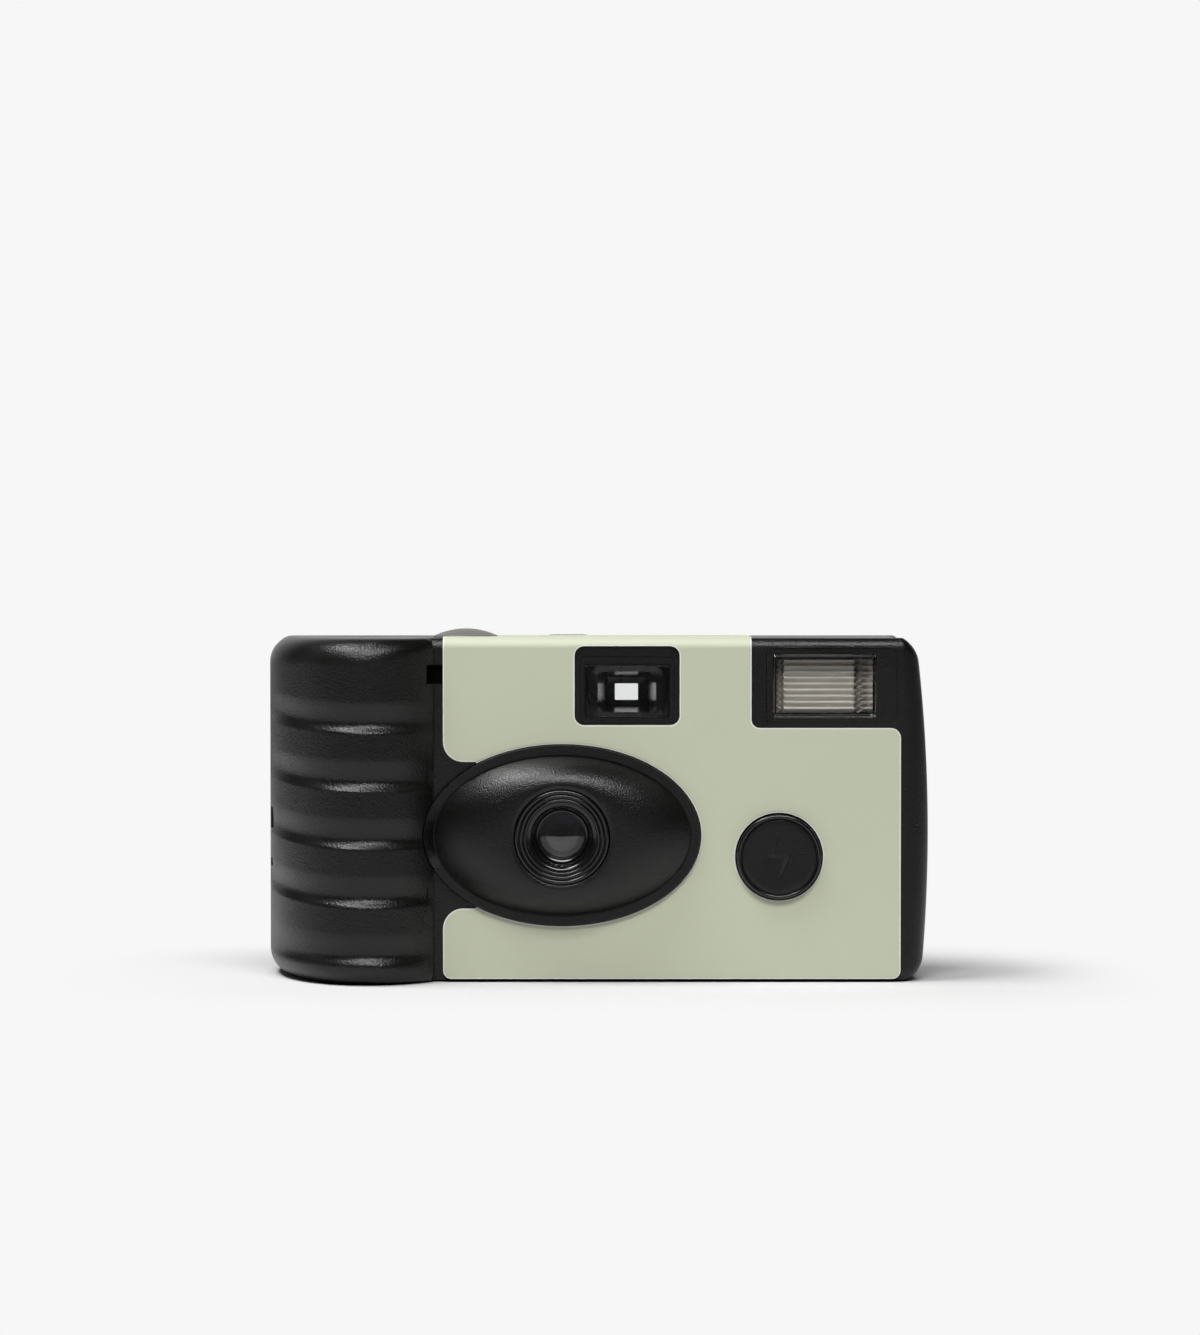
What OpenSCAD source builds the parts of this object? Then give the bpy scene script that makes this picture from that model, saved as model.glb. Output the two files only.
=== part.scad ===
// Single-use 35 mm film camera with a flash.
// X runs to the right as seen from the front, the front faces -Y, Z is up.
// The origin is on the base, in the middle of the width and the depth. Sizes are in millimetres.

/* [Body] */
// Width of the body
body_w = 118.5; // [117.5:0.5:130]
// Height of the body without the shutter button
body_h = 61; // [60.5:0.5:68]
// Depth from the front of the grip to the rim of the thumbwheel
body_d = 37; // [37:0.5:42]
// Wall of the covers
wall = 1.6; // [1.2:0.1:1.7]
// Corner radius of the body as seen from the front
side_r = 4.5; // [3:0.25:6]
// Edge radius of the front, rear and top faces
edge_r = 1.8; // [1:0.1:2.5]
// Corner radius of the sides as seen from above
plan_r = 5; // [3:0.25:6]
// How far the right side bows out between base and top
side_bow = 2.2; // [0:0.1:3]
// Depth of the rear cover, from the joint line to the back
rear_cover_d = 12; // [11:0.5:12.5]

/* [Grip] */
// How far the grip stands in front of the label
grip_proud = 8; // [5:0.5:8]
// Width of the grip, from the left side to the step down to the label
grip_w = 30.5; // [30.25:0.25:31]
// Width over which the grip falls back towards that step
grip_fall_w = 11.75; // [9:0.25:13]
// Share of the grip's depth that falls back in a curve; the rest is the straight step
grip_fall_share = 0.9; // [0.6:0.05:0.95]
// Number of grooves across the grip
groove_count = 5; // [1:1:5]
// Height of the middle of the lowest groove
groove_first_z = 6.5; // [5:0.25:8]
// Distance between grooves
groove_pitch = 10.2; // [8:0.1:10.5]
// Height of one groove
groove_h = 5.6; // [3:0.1:7]
// Depth of one groove
groove_depth = 1; // [0.2:0.05:1]
// How far the grooves climb towards the left side
groove_rise = 2; // [0:0.1:2.5]

/* [Labels] */
// Thickness of the labels
label_t = 0.25; // [0.1:0.05:0.4]
// Left edge of the front label
label_left_x = -27; // [-27.6:0.1:-25]
// Margin of black plastic to the right of the front label
label_right_margin = 5.2; // [4:0.1:8]
// Corner radius of the front label
label_r = 1.5; // [0.5:0.1:2.5]
// Width of the rear label
rear_label_w = 70; // [40:1:84]
// Height of the rear label
rear_label_h = 36; // [20:1:40]

/* [Lens] */
// Lens axis, sideways
lens_x = -5.9; // [-6.4:0.1:-5.2]
// How far the lens axis lies below the middle of the height
lens_drop = 4.4; // [3.5:0.1:5]
// Half width of the lens surround
surround_a = 24.5; // [20:0.25:25]
// Height of the lowest point of the lens surround
surround_base_z = 10.1; // [9.6:0.1:14]
// Thickness of the flange round the dome
surround_flange = 1.1; // [0.6:0.1:1.6]
// Width of that flange
surround_lip = 1.9; // [1:0.1:3]
// Height of the dome over its flange
dome_h = 4.9; // [3:0.1:5.5]
// Radius of the stepped ring round the lens
ring_r = 8.4; // [7:0.1:9]
// Radius of the lens that shows
lens_view_r = 4.3; // [3:0.1:4.6]
// Radius of the whole lens
lens_r = 5; // [4.8:0.1:5.5]
// Radius of the aperture
aperture_r = 1.5; // [0.8:0.1:2]

/* [Viewfinder] */
// Left edge of the finder window
finder_x = -1.9; // [-2.2:0.1:-1.2]
// Width of the finder window
finder_w = 15; // [12:0.25:15.5]
// Top of the finder window, below the top of the body
finder_drop = 4.8; // [4.1:0.1:4.8]
// Height of the finder window
finder_h = 9.4; // [7:0.2:9.6]
// Width of the sunk frame round the finder window
finder_frame = 1.8; // [1:0.1:2]
// Height of that frame over the window
finder_frame_top = 3.4; // [1:0.1:3.6]
// Width of the eyepiece
eyepiece_w = 9; // [6:0.5:10]
// Height of the eyepiece
eyepiece_h = 7; // [5:0.5:8]

/* [Flash] */
// Right edge of the flash window, from the right side of the body
flash_inset = 9.55; // [9.15:0.1:9.95]
// Width of the flash window
flash_w = 18.3; // [16:0.25:18.5]
// Top of the flash window, below the top of the body
flash_drop = 2.8; // [2.2:0.1:3.2]
// Height of the flash window
flash_h = 11.3; // [9:0.2:11.4]
// Depth of the flash reflector
reflector_d = 7; // [5:0.25:7.5]
// Radius of the flash tube
flash_tube_r = 1.3; // [1:0.1:1.6]
// Centre of the flash button, sideways
flash_button_x = 32.5; // [31:0.1:34]
// Centre of the flash button, height
flash_button_z = 22.3; // [20:0.1:26]
// Radius of the flash button
flash_button_r = 7.5; // [5:0.1:8]
// How far the flash button stands in front of the label
flash_button_proud = 1.2; // [0.8:0.1:2]
// Radius of the flash capacitor
capacitor_r = 4.5; // [3.5:0.1:4.8]
// Room between the flash capacitor and the cell
capacitor_gap = 3.25; // [2.25:0.5:9.25]

/* [Shutter button] */
// Centre of the shutter button, sideways
button_x = -23.2; // [-23.7:0.1:-22.7]
// Centre of the shutter button, behind the front of the label
button_back = 8.8; // [8.5:0.1:9]
// Radius of the shutter button
button_r = 5.7; // [4:0.1:5.9]
// How far the shutter button stands over the top
button_proud = 1.6; // [1.2:0.1:2.5]

/* [Film path] */
// Thickness of the thumbwheel
wheel_t = 4.2; // [3:0.1:4.4]
// How far the thumbwheel stands out of the back
wheel_proud = 1; // [0.8:0.1:1.1]
// Number of teeth round the thumbwheel
wheel_teeth = 60; // [24:1:80]
// Radius of the film cartridge
cartridge_r = 12.5; // [11.5:0.1:12.6]
// How much lower the film cartridge is than the body
cartridge_drop = 18.8; // [18.6:0.2:21]
// How much narrower the film is than the cartridge is high
film_drop = 7.2; // [7.2:0.2:8.2]
// Radius of the roll of unexposed film
film_roll_r = 8.4; // [6.5:0.1:8.5]
// Radius at the tips of the sprocket teeth
sprocket_r = 6.05; // [5:0.05:6.3]
// Number of sprocket teeth
sprocket_teeth = 8; // [6:1:10]
// Radius of the counter dial
dial_r = 7.8; // [6:0.1:7.8]

/* [Battery] */
// Radius of the cell
battery_r = 7.1; // [6.5:0.05:7.2]
// How much shorter the cell is than the body is high
battery_drop = 11; // [10.5:0.25:13]

/* [Hidden] */
$fn = 64;

// Colours
black = [0.11, 0.11, 0.10];
deep_black = [0.05, 0.05, 0.05];
sage = [0.75, 0.78, 0.69];
warm_grey = [0.60, 0.58, 0.55];
clear = [0.85, 0.90, 0.92, 0.4];
steel = [0.72, 0.73, 0.75];
brass = [0.80, 0.66, 0.36];

// Clearances
run_gap = 0.05;      // radial play of a pin in its bore
slide_gap = 0.25;    // play of a button in its hole
seat_gap = 0.1;      // play of a fixed piece in its seat
free_gap = 0.4;      // room between a moving piece and what it passes
past = 1;            // how far a cut runs past the face it opens

// Main planes of the body
left_x = -body_w / 2;
right_x = body_w / 2;
front_y = -body_d / 2;
label_y = front_y + grip_proud;
plane_y = label_y + label_t;
inner_front_y = plane_y + wall;
rear_y = body_d / 2 - wheel_proud;
inner_rear_y = rear_y - wall;
seam_y = rear_y - rear_cover_d;
inner_top_z = body_h - wall;
lens_z = body_h / 2 - lens_drop;
bow_z = lens_z;
surround_b = lens_z - surround_base_z;
finder_z = body_h - finder_drop - finder_h;
flash_x = right_x - flash_inset - flash_w;
flash_z = body_h - flash_drop - flash_h;
button_y = label_y + button_back;

// The film, its cartridge and the cell fill the height of the body
cartridge_h = body_h - cartridge_drop;
film_w = cartridge_h - film_drop;
battery_l = body_h - battery_drop;

// Outlines of the covers. Each point is [x, y, normal x, normal y, edge radius, groove weight, groove rise].
function blend(a, b, t) = a + (b - a) * t;
function corner(cx, cy, r, from, to, edge_from, edge_to, n) = [
    for (i = [0 : n])
        let (t = i / n, a = blend(from, to, t))
        [cx + r * cos(a), cy + r * sin(a), cos(a), sin(a), blend(edge_from, edge_to, t), 0, 0]
];

// The grip sweeps round in one curve from the left side to its crest, then falls ever faster to the step.
// At the joint line both covers are drawn in along X alone, so that they meet in one plane.
step_x = left_x + grip_w;
crest_x = step_x - grip_fall_w;
grip_fall_d = grip_proud * grip_fall_share;
sweep_y = rear_y - plan_r;
sweep_a = crest_x - left_x;
sweep_b = sweep_y - front_y;
sweep_from = 180 + asin((sweep_y - seam_y) / sweep_b);
function ellipse_normal(a, half_w, half_d) =
    let (n = [cos(a) / half_w, sin(a) / half_d])
    n / norm(n);
sweep_steps = 10;
grip_sweep = [
    for (i = [0 : sweep_steps])
        let (t = i / sweep_steps,
             a = blend(sweep_from, 270, t),
             n = i == 0 ? [-1, 0] : ellipse_normal(a, sweep_a, sweep_b))
        [crest_x + sweep_a * cos(a), sweep_y + sweep_b * sin(a), n.x, n.y,
         side_r, pow(t, 0.6), groove_rise * pow(1 - t, 1.5)]
];
fall_steps = 8;
grip_fall = [
    for (i = [1 : fall_steps])
        let (t = i / fall_steps,
             n = [2 * t * grip_fall_d, -grip_fall_w])
        [crest_x + grip_fall_w * t, front_y + grip_fall_d * t * t, n.x / norm(n), n.y / norm(n),
         blend(side_r, edge_r, t), pow(max(cos(90 * t), 0), 0.6), 0]
];
front_outline = concat(
    grip_sweep,
    grip_fall,
    [[step_x, plane_y, 0.3, -1, edge_r, 0, 0]],
    corner(right_x - plan_r, plane_y + plan_r, plan_r, 270, 360, edge_r, side_r, 6),
    [[right_x, seam_y, 1, 0, side_r, 0, 0]]
);
rear_sweep_steps = 3;
rear_sweep = [
    for (i = [1 : rear_sweep_steps])
        let (a = blend(180, sweep_from, i / rear_sweep_steps),
             n = i == rear_sweep_steps ? [-1, 0] : ellipse_normal(a, sweep_a, sweep_b))
        [crest_x + sweep_a * cos(a), sweep_y + sweep_b * sin(a), n.x, n.y, side_r, 0, 0]
];
rear_outline = concat(
    [[right_x, seam_y, 1, 0, side_r, 0, 0]],
    corner(right_x - plan_r, rear_y - plan_r, plan_r, 0, 90, side_r, edge_r, 6),
    corner(left_x + plan_r, rear_y - plan_r, plan_r, 90, 180, edge_r, side_r, 6),
    rear_sweep
);

// Front face of the grip's fall at a given x
function fall_face(x) =
    let (share = max(min((x - crest_x) / grip_fall_w, 1), 0))
    front_y + grip_fall_d * share * share;

// A rounded edge of radius r has drawn in this far at height h over its end
function edge_inset(h, r) = h >= r ? 0 : r - sqrt(r * r - (r - h) * (r - h));

// Share of the groove depth at height u over the middle of a groove: a crisp lower edge, a soft upper one
groove_steps = [[-0.5, 0], [-0.36, 0.7], [-0.2, 1], [0.05, 0.85], [0.3, 0.25], [0.5, 0]];
function groove_share(u) = lookup(u / groove_h, groove_steps);
function groove_cut(z) = groove_depth * max([
    for (i = [0 : groove_count - 1]) groove_share(z - groove_first_z - i * groove_pitch)
]);

// One point of a cover's outer face, or of its cavity where skin is more than 0
least_r = 0.2;
function cover_point(p, z, skin) =
    let (h = max(min(z, body_h - z) - skin, 0),
         r = max(p[4] - skin, least_r),
         groove = skin > 0 ? 0 : p[5] * groove_cut(z),
         d = skin + edge_inset(h, r) + groove,
         bow = p.x > 0 ? side_bow * pow((z - bow_z) / (body_h - bow_z), 2) * max(p[2], 0) : 0,
         rise = skin > 0 ? 0 : p[6] * max(min((min(z, body_h - z) - side_r) / groove_h, 1), 0))
    [p.x - p[2] * d - bow, p.y - p[3] * d, z + rise];

function sorted(v) = len(v) < 2 ? v : let (m = v[0])
    concat(sorted([for (x = v) if (x < m) x]), [m], sorted([for (x = v) if (x > m) x]));
edge_levels = concat([0, 0.1, 0.4, 1] * edge_r, [0.22, 0.55, 1] * side_r);
groove_levels = [
    for (i = [0 : groove_count - 1])
        for (s = groove_steps)
            groove_first_z + i * groove_pitch + s[0] * groove_h
];
cover_levels = sorted(concat(edge_levels, [for (h = edge_levels) body_h - h], groove_levels));
plain_levels = sorted(concat(edge_levels, [for (h = edge_levels) body_h - h]));
cavity_heights = concat([wall], [for (k = [0.3, 1]) wall + k * (side_r - wall)]);
cavity_levels = sorted(concat(cavity_heights, [for (h = cavity_heights) body_h - h]));

// A closed skin through rings of points, the first ring at the bottom
module loft(rings) {
    n = len(rings[0]);
    m = len(rings);
    sides = [
        for (i = [0 : m - 2])
            for (j = [0 : n - 1])
                let (k = (j + 1) % n, a = i * n + j, b = i * n + k)
                each [[a, a + n, b + n], [a, b + n, b]]
    ];
    bottom = [for (j = [0 : n - 1]) j];
    top = [for (j = [0 : n - 1]) m * n - 1 - j];
    polyhedron(points = [for (ring = rings) each ring], faces = concat(sides, [bottom], [top]));
}

module cover_skin(outline, levels) {
    loft([for (z = levels) [for (p = outline) cover_point(p, z, 0)]]);
}

// The cavity runs past the joint line, so that the cover is open there
module cover_cavity(outline, seam_shift) {
    last = len(outline) - 1;
    moved = [
        for (i = [0 : last])
            let (p = outline[i], end = i == 0 || i == last)
            [p.x, p.y + (end ? seam_shift : 0), p[2], p[3], p[4], p[5], p[6]]
    ];
    loft([for (z = cavity_levels) [for (p = moved) cover_point(p, z, wall)]]);
}

// A plate with round corners in the X-Z plane, from y0 to y1
module xz_plate(x0, x1, z0, z1, y0, y1, r) {
    translate([0, y1, 0])
        rotate([90, 0, 0])
            linear_extrude(y1 - y0)
                round_rect(x0, x1, z0, z1, r);
}

module round_rect(x0, x1, y0, y1, r) {
    n = 8;
    centres = [[x1 - r, y1 - r, 0], [x0 + r, y1 - r, 90], [x0 + r, y0 + r, 180], [x1 - r, y0 + r, 270]];
    polygon([
        for (c = centres)
            for (i = [0 : n])
                let (a = c[2] + 90 * i / n)
                [c[0] + r * cos(a), c[1] + r * sin(a)]
    ]);
}

// A box between two corners
module box(x, y, z) {
    translate([x[0], y[0], z[0]])
        cube([x[1] - x[0], y[1] - y[0], z[1] - z[0]]);
}

// A round bar along Y
module y_bar(x, z, y0, y1, r) {
    translate([x, y1, z])
        rotate([90, 0, 0])
            cylinder(h = y1 - y0, r = r);
}

// A round bar along X
module x_bar(y, z, x0, x1, r) {
    translate([x0, y, z])
        rotate([0, 90, 0])
            cylinder(h = x1 - x0, r = r);
}

// A ring standing on z0
module ring(x, y, z0, z1, r_out, r_in) {
    translate([x, y, z0])
        difference() {
            cylinder(h = z1 - z0, r = r_out);
            translate([0, 0, -past])
                cylinder(h = z1 - z0 + 2 * past, r = r_in);
        }
}

// An ellipse standing in the X-Z plane round the lens axis, from y0 to y1
surround_points = 96;
function ellipse_points(a, b) = [
    for (i = [0 : surround_points - 1])
        let (t = 360 * i / surround_points)
        [a * cos(t), b * sin(t)]
];
module lens_ellipse(a, b, y0, y1) {
    translate([lens_x, y1, lens_z])
        rotate([90, 0, 0])
            linear_extrude(y1 - y0)
                polygon(ellipse_points(a, b));
}

// A wound spring of round wire, standing on z = 0
module coil(r, wire, height, turns) {
    rings_per_turn = 12;
    sides = 6;
    count = turns * rings_per_turn;
    rise = (height - 2 * wire) / count;
    loft([
        for (i = [0 : count])
            [for (j = [0 : sides - 1])
                let (a = 360 * i / rings_per_turn, s = 360 * j / sides, d = r - wire * cos(s))
                [d * cos(a), d * sin(a), wire + i * rise + wire * sin(s)]]
    ]);
}

// Lens stack, from the front: ring, lens, stop, board, blade
pocket_y = plane_y + 0.3;
board_front_y = inner_front_y + 0.25;
board_t = 1;
board_rear_y = board_front_y + board_t;
blade_gap = 0.5;
blade_t = 0.3;
blade_y = board_rear_y + blade_gap;
tunnel_front_y = board_rear_y + 3;
tunnel_wall = 1;
tube_front_y = plane_y - 3.3;
tube_r = ring_r;
lens_seat_y = plane_y + 0.6;
stop_t = 0.3;
lens_t = 2.2;
ring_front_y = plane_y - surround_flange - dome_h - 0.1;
lens_rear_y = lens_seat_y - stop_t - seat_gap;
lens_front_y = lens_rear_y - lens_t;
board_x = [lens_x - 14.2, lens_x + 14.8];
board_z = [lens_z - 13.4, lens_z + film_w / 2 - 3.6];
board_post_r = 1.5;
board_post_inset = 1.6;

// Shutter blade
blade_pivot_x = lens_x - 8;
blade_pivot_z = lens_z + 8.9;
blade_pin_r = 0.8;
blade_hub_r = 2;
blade_lobe_r = aperture_r + 1.7;
blade_tail_x = blade_pivot_x + 2.2;
blade_tail_w = 1.2;
blade_arm_w = 2.4;

// Film path
film_t = 0.15;
film_back_gap = 1.1;
film_y = inner_rear_y - film_back_gap - film_t;
gate_gap = 0.15;
gate_t = 1.4;
gate_rear_y = film_y - gate_gap;
gate_front_y = gate_rear_y - gate_t;
gate_w = 36;
gate_margin = 5.5;
gate_h = film_w - 2 * gate_margin;
film_z0 = lens_z - film_w / 2;
film_z1 = lens_z + film_w / 2;
perforation_pitch = 4.75;
perforation_w = 1.98;
perforation_h = 2.8;
perforation_inset = 2;

// Cartridge and thumbwheel share one axis
cart_inset = 19.5;   // cartridge axis, from the left side
cap_rim = 0.2;
cart_x = left_x + cart_inset;
cart_y = inner_rear_y - seat_gap - cartridge_r - cap_rim;
wheel_r = body_d / 2 - cart_y;
cart_z0 = lens_z - cartridge_h / 2;
cart_z1 = lens_z + cartridge_h / 2;
cart_skin = 0.4;
cap_t = 0.6;
cap_rim_h = 1.2;
spool_core_r = 5.5;
spool_hub_r = 3.8;
spool_play = 0.2;
spool_top_z = cart_z1 + cap_t + 0.6;
axle_r = 2.6;
roof_z = spool_top_z + free_gap;
roof_t = 0.8;
wheel_z = roof_z + roof_t + free_gap;
wheel_top_z = wheel_z + wheel_t;
chamber_r = cartridge_r + cap_rim + free_gap;
chamber_wall = 1.2;
chamber_floor_z = wall + 0.6;

// Pawl in front of the thumbwheel
pawl_pin_r = 0.7;
pawl_hub_r = 1.2;
pawl_t = 1.2;
pawl_arm_w = 0.8;
pawl_tip_x = 6.8;
pawl_tip_gap = 0.9;   // from the wheel's teeth to the middle of the tip
pawl_x = cart_x - 2;
pawl_y = cart_y - wheel_r - pawl_hub_r - 0.5;
pawl_z = wheel_z + 0.4;

// Supply roll
spool_r = 4.3;
spool_pin_r = 2;
supply_gap = 0.5;
supply_wall = 1;
supply_x = 25.5;
supply_y = film_y - film_roll_r - seat_gap;
supply_ring_r = film_roll_r + supply_gap;
supply_out_r = supply_ring_r + supply_wall;
supply_floor_t = 1.2;
supply_plate_r = inner_rear_y - free_gap - supply_y;
supply_roof_z = film_z1 + 2.6;
supply_roof_t = 1.2;
supply_top_z = supply_roof_z + supply_roof_t;

// Mechanism deck over the light tunnel
deck_z = film_z1 + 1.2;
deck_t = 1.2;
deck_top_z = deck_z + deck_t;
deck_front_y = tunnel_front_y - 0.8;
deck_right_x = supply_x - supply_out_r;
deck_left_x = cart_x + chamber_r + 0.2;

// Sprocket, counter and levers on the deck
sprocket_reach = 19.5;   // from the cartridge axis to the sprocket's
dial_reach = 8.5;        // from the sprocket's axis to the dial's
sprocket_x = cart_x + sprocket_reach;
sprocket_y = film_y - sprocket_r - seat_gap;
sprocket_h = 2;
sprocket_z = film_z1 - perforation_inset - sprocket_h / 2;
shaft_r = 1.4;
dial_t = 0.8;
dial_z = inner_top_z - 4.1;
dial_x = sprocket_x + dial_reach;
dial_y = inner_rear_y - free_gap - dial_r;
dial_pin_r = 1.5;
finger_r = 0.5;
drive_x = blade_pivot_x + 1.8;
drive_y = tunnel_front_y + 6.4;
drive_pin_r = 1.2;
drive_hub_r = 2.2;
drive_t = 1.2;
drive_z = deck_top_z + 0.2;
drive_arm_w = 1.6;
drive_tip_x = blade_tail_x - blade_tail_w / 2 - free_gap - drive_arm_w / 2;
drive_tip_y = blade_y + blade_t / 2;
blade_top_z = drive_z + drive_t - 0.2;

// Shutter button over the release lever
button_flange_r = button_r + 0.8;
button_flange_t = 1;
button_travel = 1;
button_flange_z = inner_top_z - 0.2 - button_flange_t;
stem_r = 1.5;
stem_l = 2.5;
stem_tip_r = 0.6;
stem_tip_l = 0.6;
stem_z = button_flange_z - stem_l;
lever_t = 1.2;
lever_w = 1.8;
lever_top_z = stem_z - 0.2;
lever_z = lever_top_z - lever_t / 2;
lever_pin_r = 0.8;
lever_arm = 4;
lever_pivot_x = button_x + lever_arm;
lever_right_x = lever_pivot_x + 6;
ear_t = 1;
ear_w = 2.4;
ear_gap = 0.3;
shelf_t = 0.6;
shelf_z = stem_z + 0.2;
shelf_top_z = shelf_z + shelf_t;

// Viewfinder
finder_wall = 1;
finder_clear = 0.4;
finder_frame_base = 1.2;
finder_frame_y = inner_front_y + 1.8;
finder_frame_rear_y = inner_rear_y - 0.9;
finder_cx = finder_x + finder_w / 2;
finder_cz = finder_z + finder_h / 2;
finder_lens_t = 1.5;
finder_out_x = [finder_x - finder_wall - finder_clear / 2, finder_x + finder_w + finder_wall];
finder_top_z = finder_z + finder_h + finder_wall;

// Flash
board_pcb_t = 1.2;
pcb_rear_y = supply_y - supply_out_r - 0.4;
pcb_front_y = pcb_rear_y - board_pcb_t;
pcb_x = [supply_x - 8.5, right_x - 4];
pcb_z = [4, flash_z - 2.9];
reflector_wall = 0.6;
reflector_y = inner_front_y + 0.15;
reflector_back_h = 4;
flash_tube_y = reflector_y + reflector_d - 2.4;
flash_cx = flash_x + flash_w / 2;
flash_cz = flash_z + flash_h / 2;
flash_button_flange_r = flash_button_r + 1;
flash_button_flange_t = 0.9;
flash_button_travel = 0.6;
flash_flange_y = inner_front_y + 0.2;
flash_stem_r = 2;
flash_stem_y = pcb_front_y - flash_button_travel - 0.25;
capacitor_x = finder_out_x[1] + 1.9;
capacitor_y = supply_y + 0.8;
capacitor_z = supply_top_z + capacitor_r;

// Battery
battery_x = right_x - wall - side_bow - battery_r;
battery_y = inner_rear_y - 0.8 - battery_r;
battery_z = wall + 1.9;
capacitor_l = battery_x - battery_r - capacitor_gap - capacitor_x;
nub_r = 2.7;
nub_h = 1.5;
contact_t = 0.4;
contact_w = 6;

// Counter window in the top of the rear cover
counter_x = [dial_x + 2.8, dial_x + 10.8];
counter_y = [seam_y + 1.6, seam_y + 8.4];
counter_r = 1.5;
counter_bulge = 0.35;

// Front label
label_base_z = 0.6;
flash_margin = 3.8;
flash_base = 1.8;
mouth_h = 2 * surround_b - 6;
mouth_r = 4;

// Latch slots
latch_w = 2.8;
latch_h = 3.4;
latch_d = 1;
latch_z = body_h - 8.1;
side_latch_l = 3;
side_latches = [[lens_z + 0.4, lens_z + 4.2], [lens_z - 6.4, lens_z - 5]];

// Ready lamp
lamp_x = supply_x - 5.5;
lamp_z = finder_cz + 0.5;
lamp_r = 1.5;
lamp_l = 5;

// Openings of the front cover. Moulded openings widen a little towards the outside.
draft = 0.12;
sliver = 0.1;
module front_bore(x, z, r) {
    hull() {
        y_bar(x, z, plane_y - past, plane_y - past + sliver, r + draft);
        y_bar(x, z, inner_front_y + past - sliver, inner_front_y + past, r);
    }
}

module front_window(x0, x1, z0, z1, r) {
    hull() {
        xz_plate(x0 - draft, x1 + draft, z0 - draft, z1 + draft, plane_y - past, plane_y - past + sliver, r);
        xz_plate(x0, x1, z0, z1, inner_front_y + past - sliver, inner_front_y + past, r);
    }
}

module top_bore(x, y, r) {
    hull() {
        translate([x, y, inner_top_z - past])
            cylinder(h = sliver, r = r);
        translate([x, y, body_h + past - sliver])
            cylinder(h = sliver, r = r + draft);
    }
}

module front_latch() {
    hull() {
        box([label_left_x - latch_w - draft, label_left_x], [plane_y - past, plane_y - past + sliver],
            [latch_z - draft, latch_z + latch_h + draft]);
        box([label_left_x - latch_w, label_left_x], [plane_y, plane_y + latch_d], [latch_z, latch_z + latch_h]);
    }
}

module side_latch(z) {
    hull() {
        box([left_x - past, left_x - past + sliver], [seam_y - side_latch_l - draft, seam_y + past],
            [z[0] - draft, z[1] + draft]);
        box([left_x, left_x + latch_d], [seam_y - side_latch_l, seam_y + past], z);
    }
}

module front_cover() {
    color(black)
        difference() {
            union() {
                difference() {
                    cover_skin(front_outline, cover_levels);
                    cover_cavity(front_outline, past);
                }
                pocket_wall();
            }
            // pocket that the lens surround sits in
            lens_ellipse(surround_a + seat_gap, surround_b + seat_gap, front_y - past, pocket_y);
            front_bore(lens_x, lens_z, tube_r + slide_gap);
            front_window(finder_x, finder_x + finder_w, finder_z, finder_z + finder_h, 0.4);
            finder_slope();
            front_window(flash_x, flash_x + flash_w, flash_z, flash_z + flash_h, 0.4);
            front_bore(flash_button_x, flash_button_z, flash_button_r + slide_gap);
            top_bore(button_x, button_y, button_r + slide_gap);
            front_latch();
            for (z = side_latches)
                side_latch(z);
        }
}

// The pocket of the lens surround runs into the grip and is walled off there
module pocket_wall() {
    skin = 0.9;
    intersection() {
        lens_ellipse(surround_a + skin, surround_b + skin, front_y + grip_fall_d - skin, pocket_y + skin);
        box([lens_x - surround_a - skin - past, step_x - skin], [front_y, inner_front_y],
            [0, body_h]);
    }
}

module finder_slope() {
    lip_d = 0.2;
    slope_d = 1;
    ledge = 0.3;
    hull() {
        xz_plate(finder_x - finder_frame, finder_x + finder_w + finder_frame,
                 finder_z - finder_frame_base, finder_z + finder_h + finder_frame_top,
                 plane_y - past, plane_y + lip_d, 1);
        xz_plate(finder_x - ledge, finder_x + finder_w + ledge, finder_z - ledge, finder_z + finder_h + ledge,
                 plane_y + slope_d - sliver, plane_y + slope_d, 0.6);
    }
}

// Openings of the rear cover, widening to the outside like those of the front
module rear_window(x0, x1, z0, z1, r, y_in, spread) {
    hull() {
        xz_plate(x0, x1, z0, z1, y_in, y_in + sliver, r);
        xz_plate(x0 - spread, x1 + spread, z0 - spread, z1 + spread, rear_y + past - sliver, rear_y + past,
                 r + spread);
    }
}

module rear_bore(x, z, r) {
    hull() {
        y_bar(x, z, inner_rear_y - past, inner_rear_y - past + sliver, r);
        y_bar(x, z, rear_y + past - sliver, rear_y + past, r + draft);
    }
}

module counter_opening() {
    hull()
        for (end = [[inner_top_z - past, 0], [body_h + past - sliver, draft]])
            translate([0, 0, end[0]])
                linear_extrude(sliver)
                    round_rect(counter_x[0] - seat_gap - end[1], counter_x[1] + seat_gap + end[1],
                               counter_y[0] - seat_gap - end[1], counter_y[1] + seat_gap + end[1], counter_r);
}

// Slot in the base that the front cover's hook snaps into
module base_latch(x) {
    half = 4;
    y = [seam_y + 2, seam_y + 5];
    hull() {
        box([x - half, x + half], y, [latch_d - sliver, latch_d]);
        box([x - half - draft, x + half + draft], y, [-past, -past + sliver]);
    }
}

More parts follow.
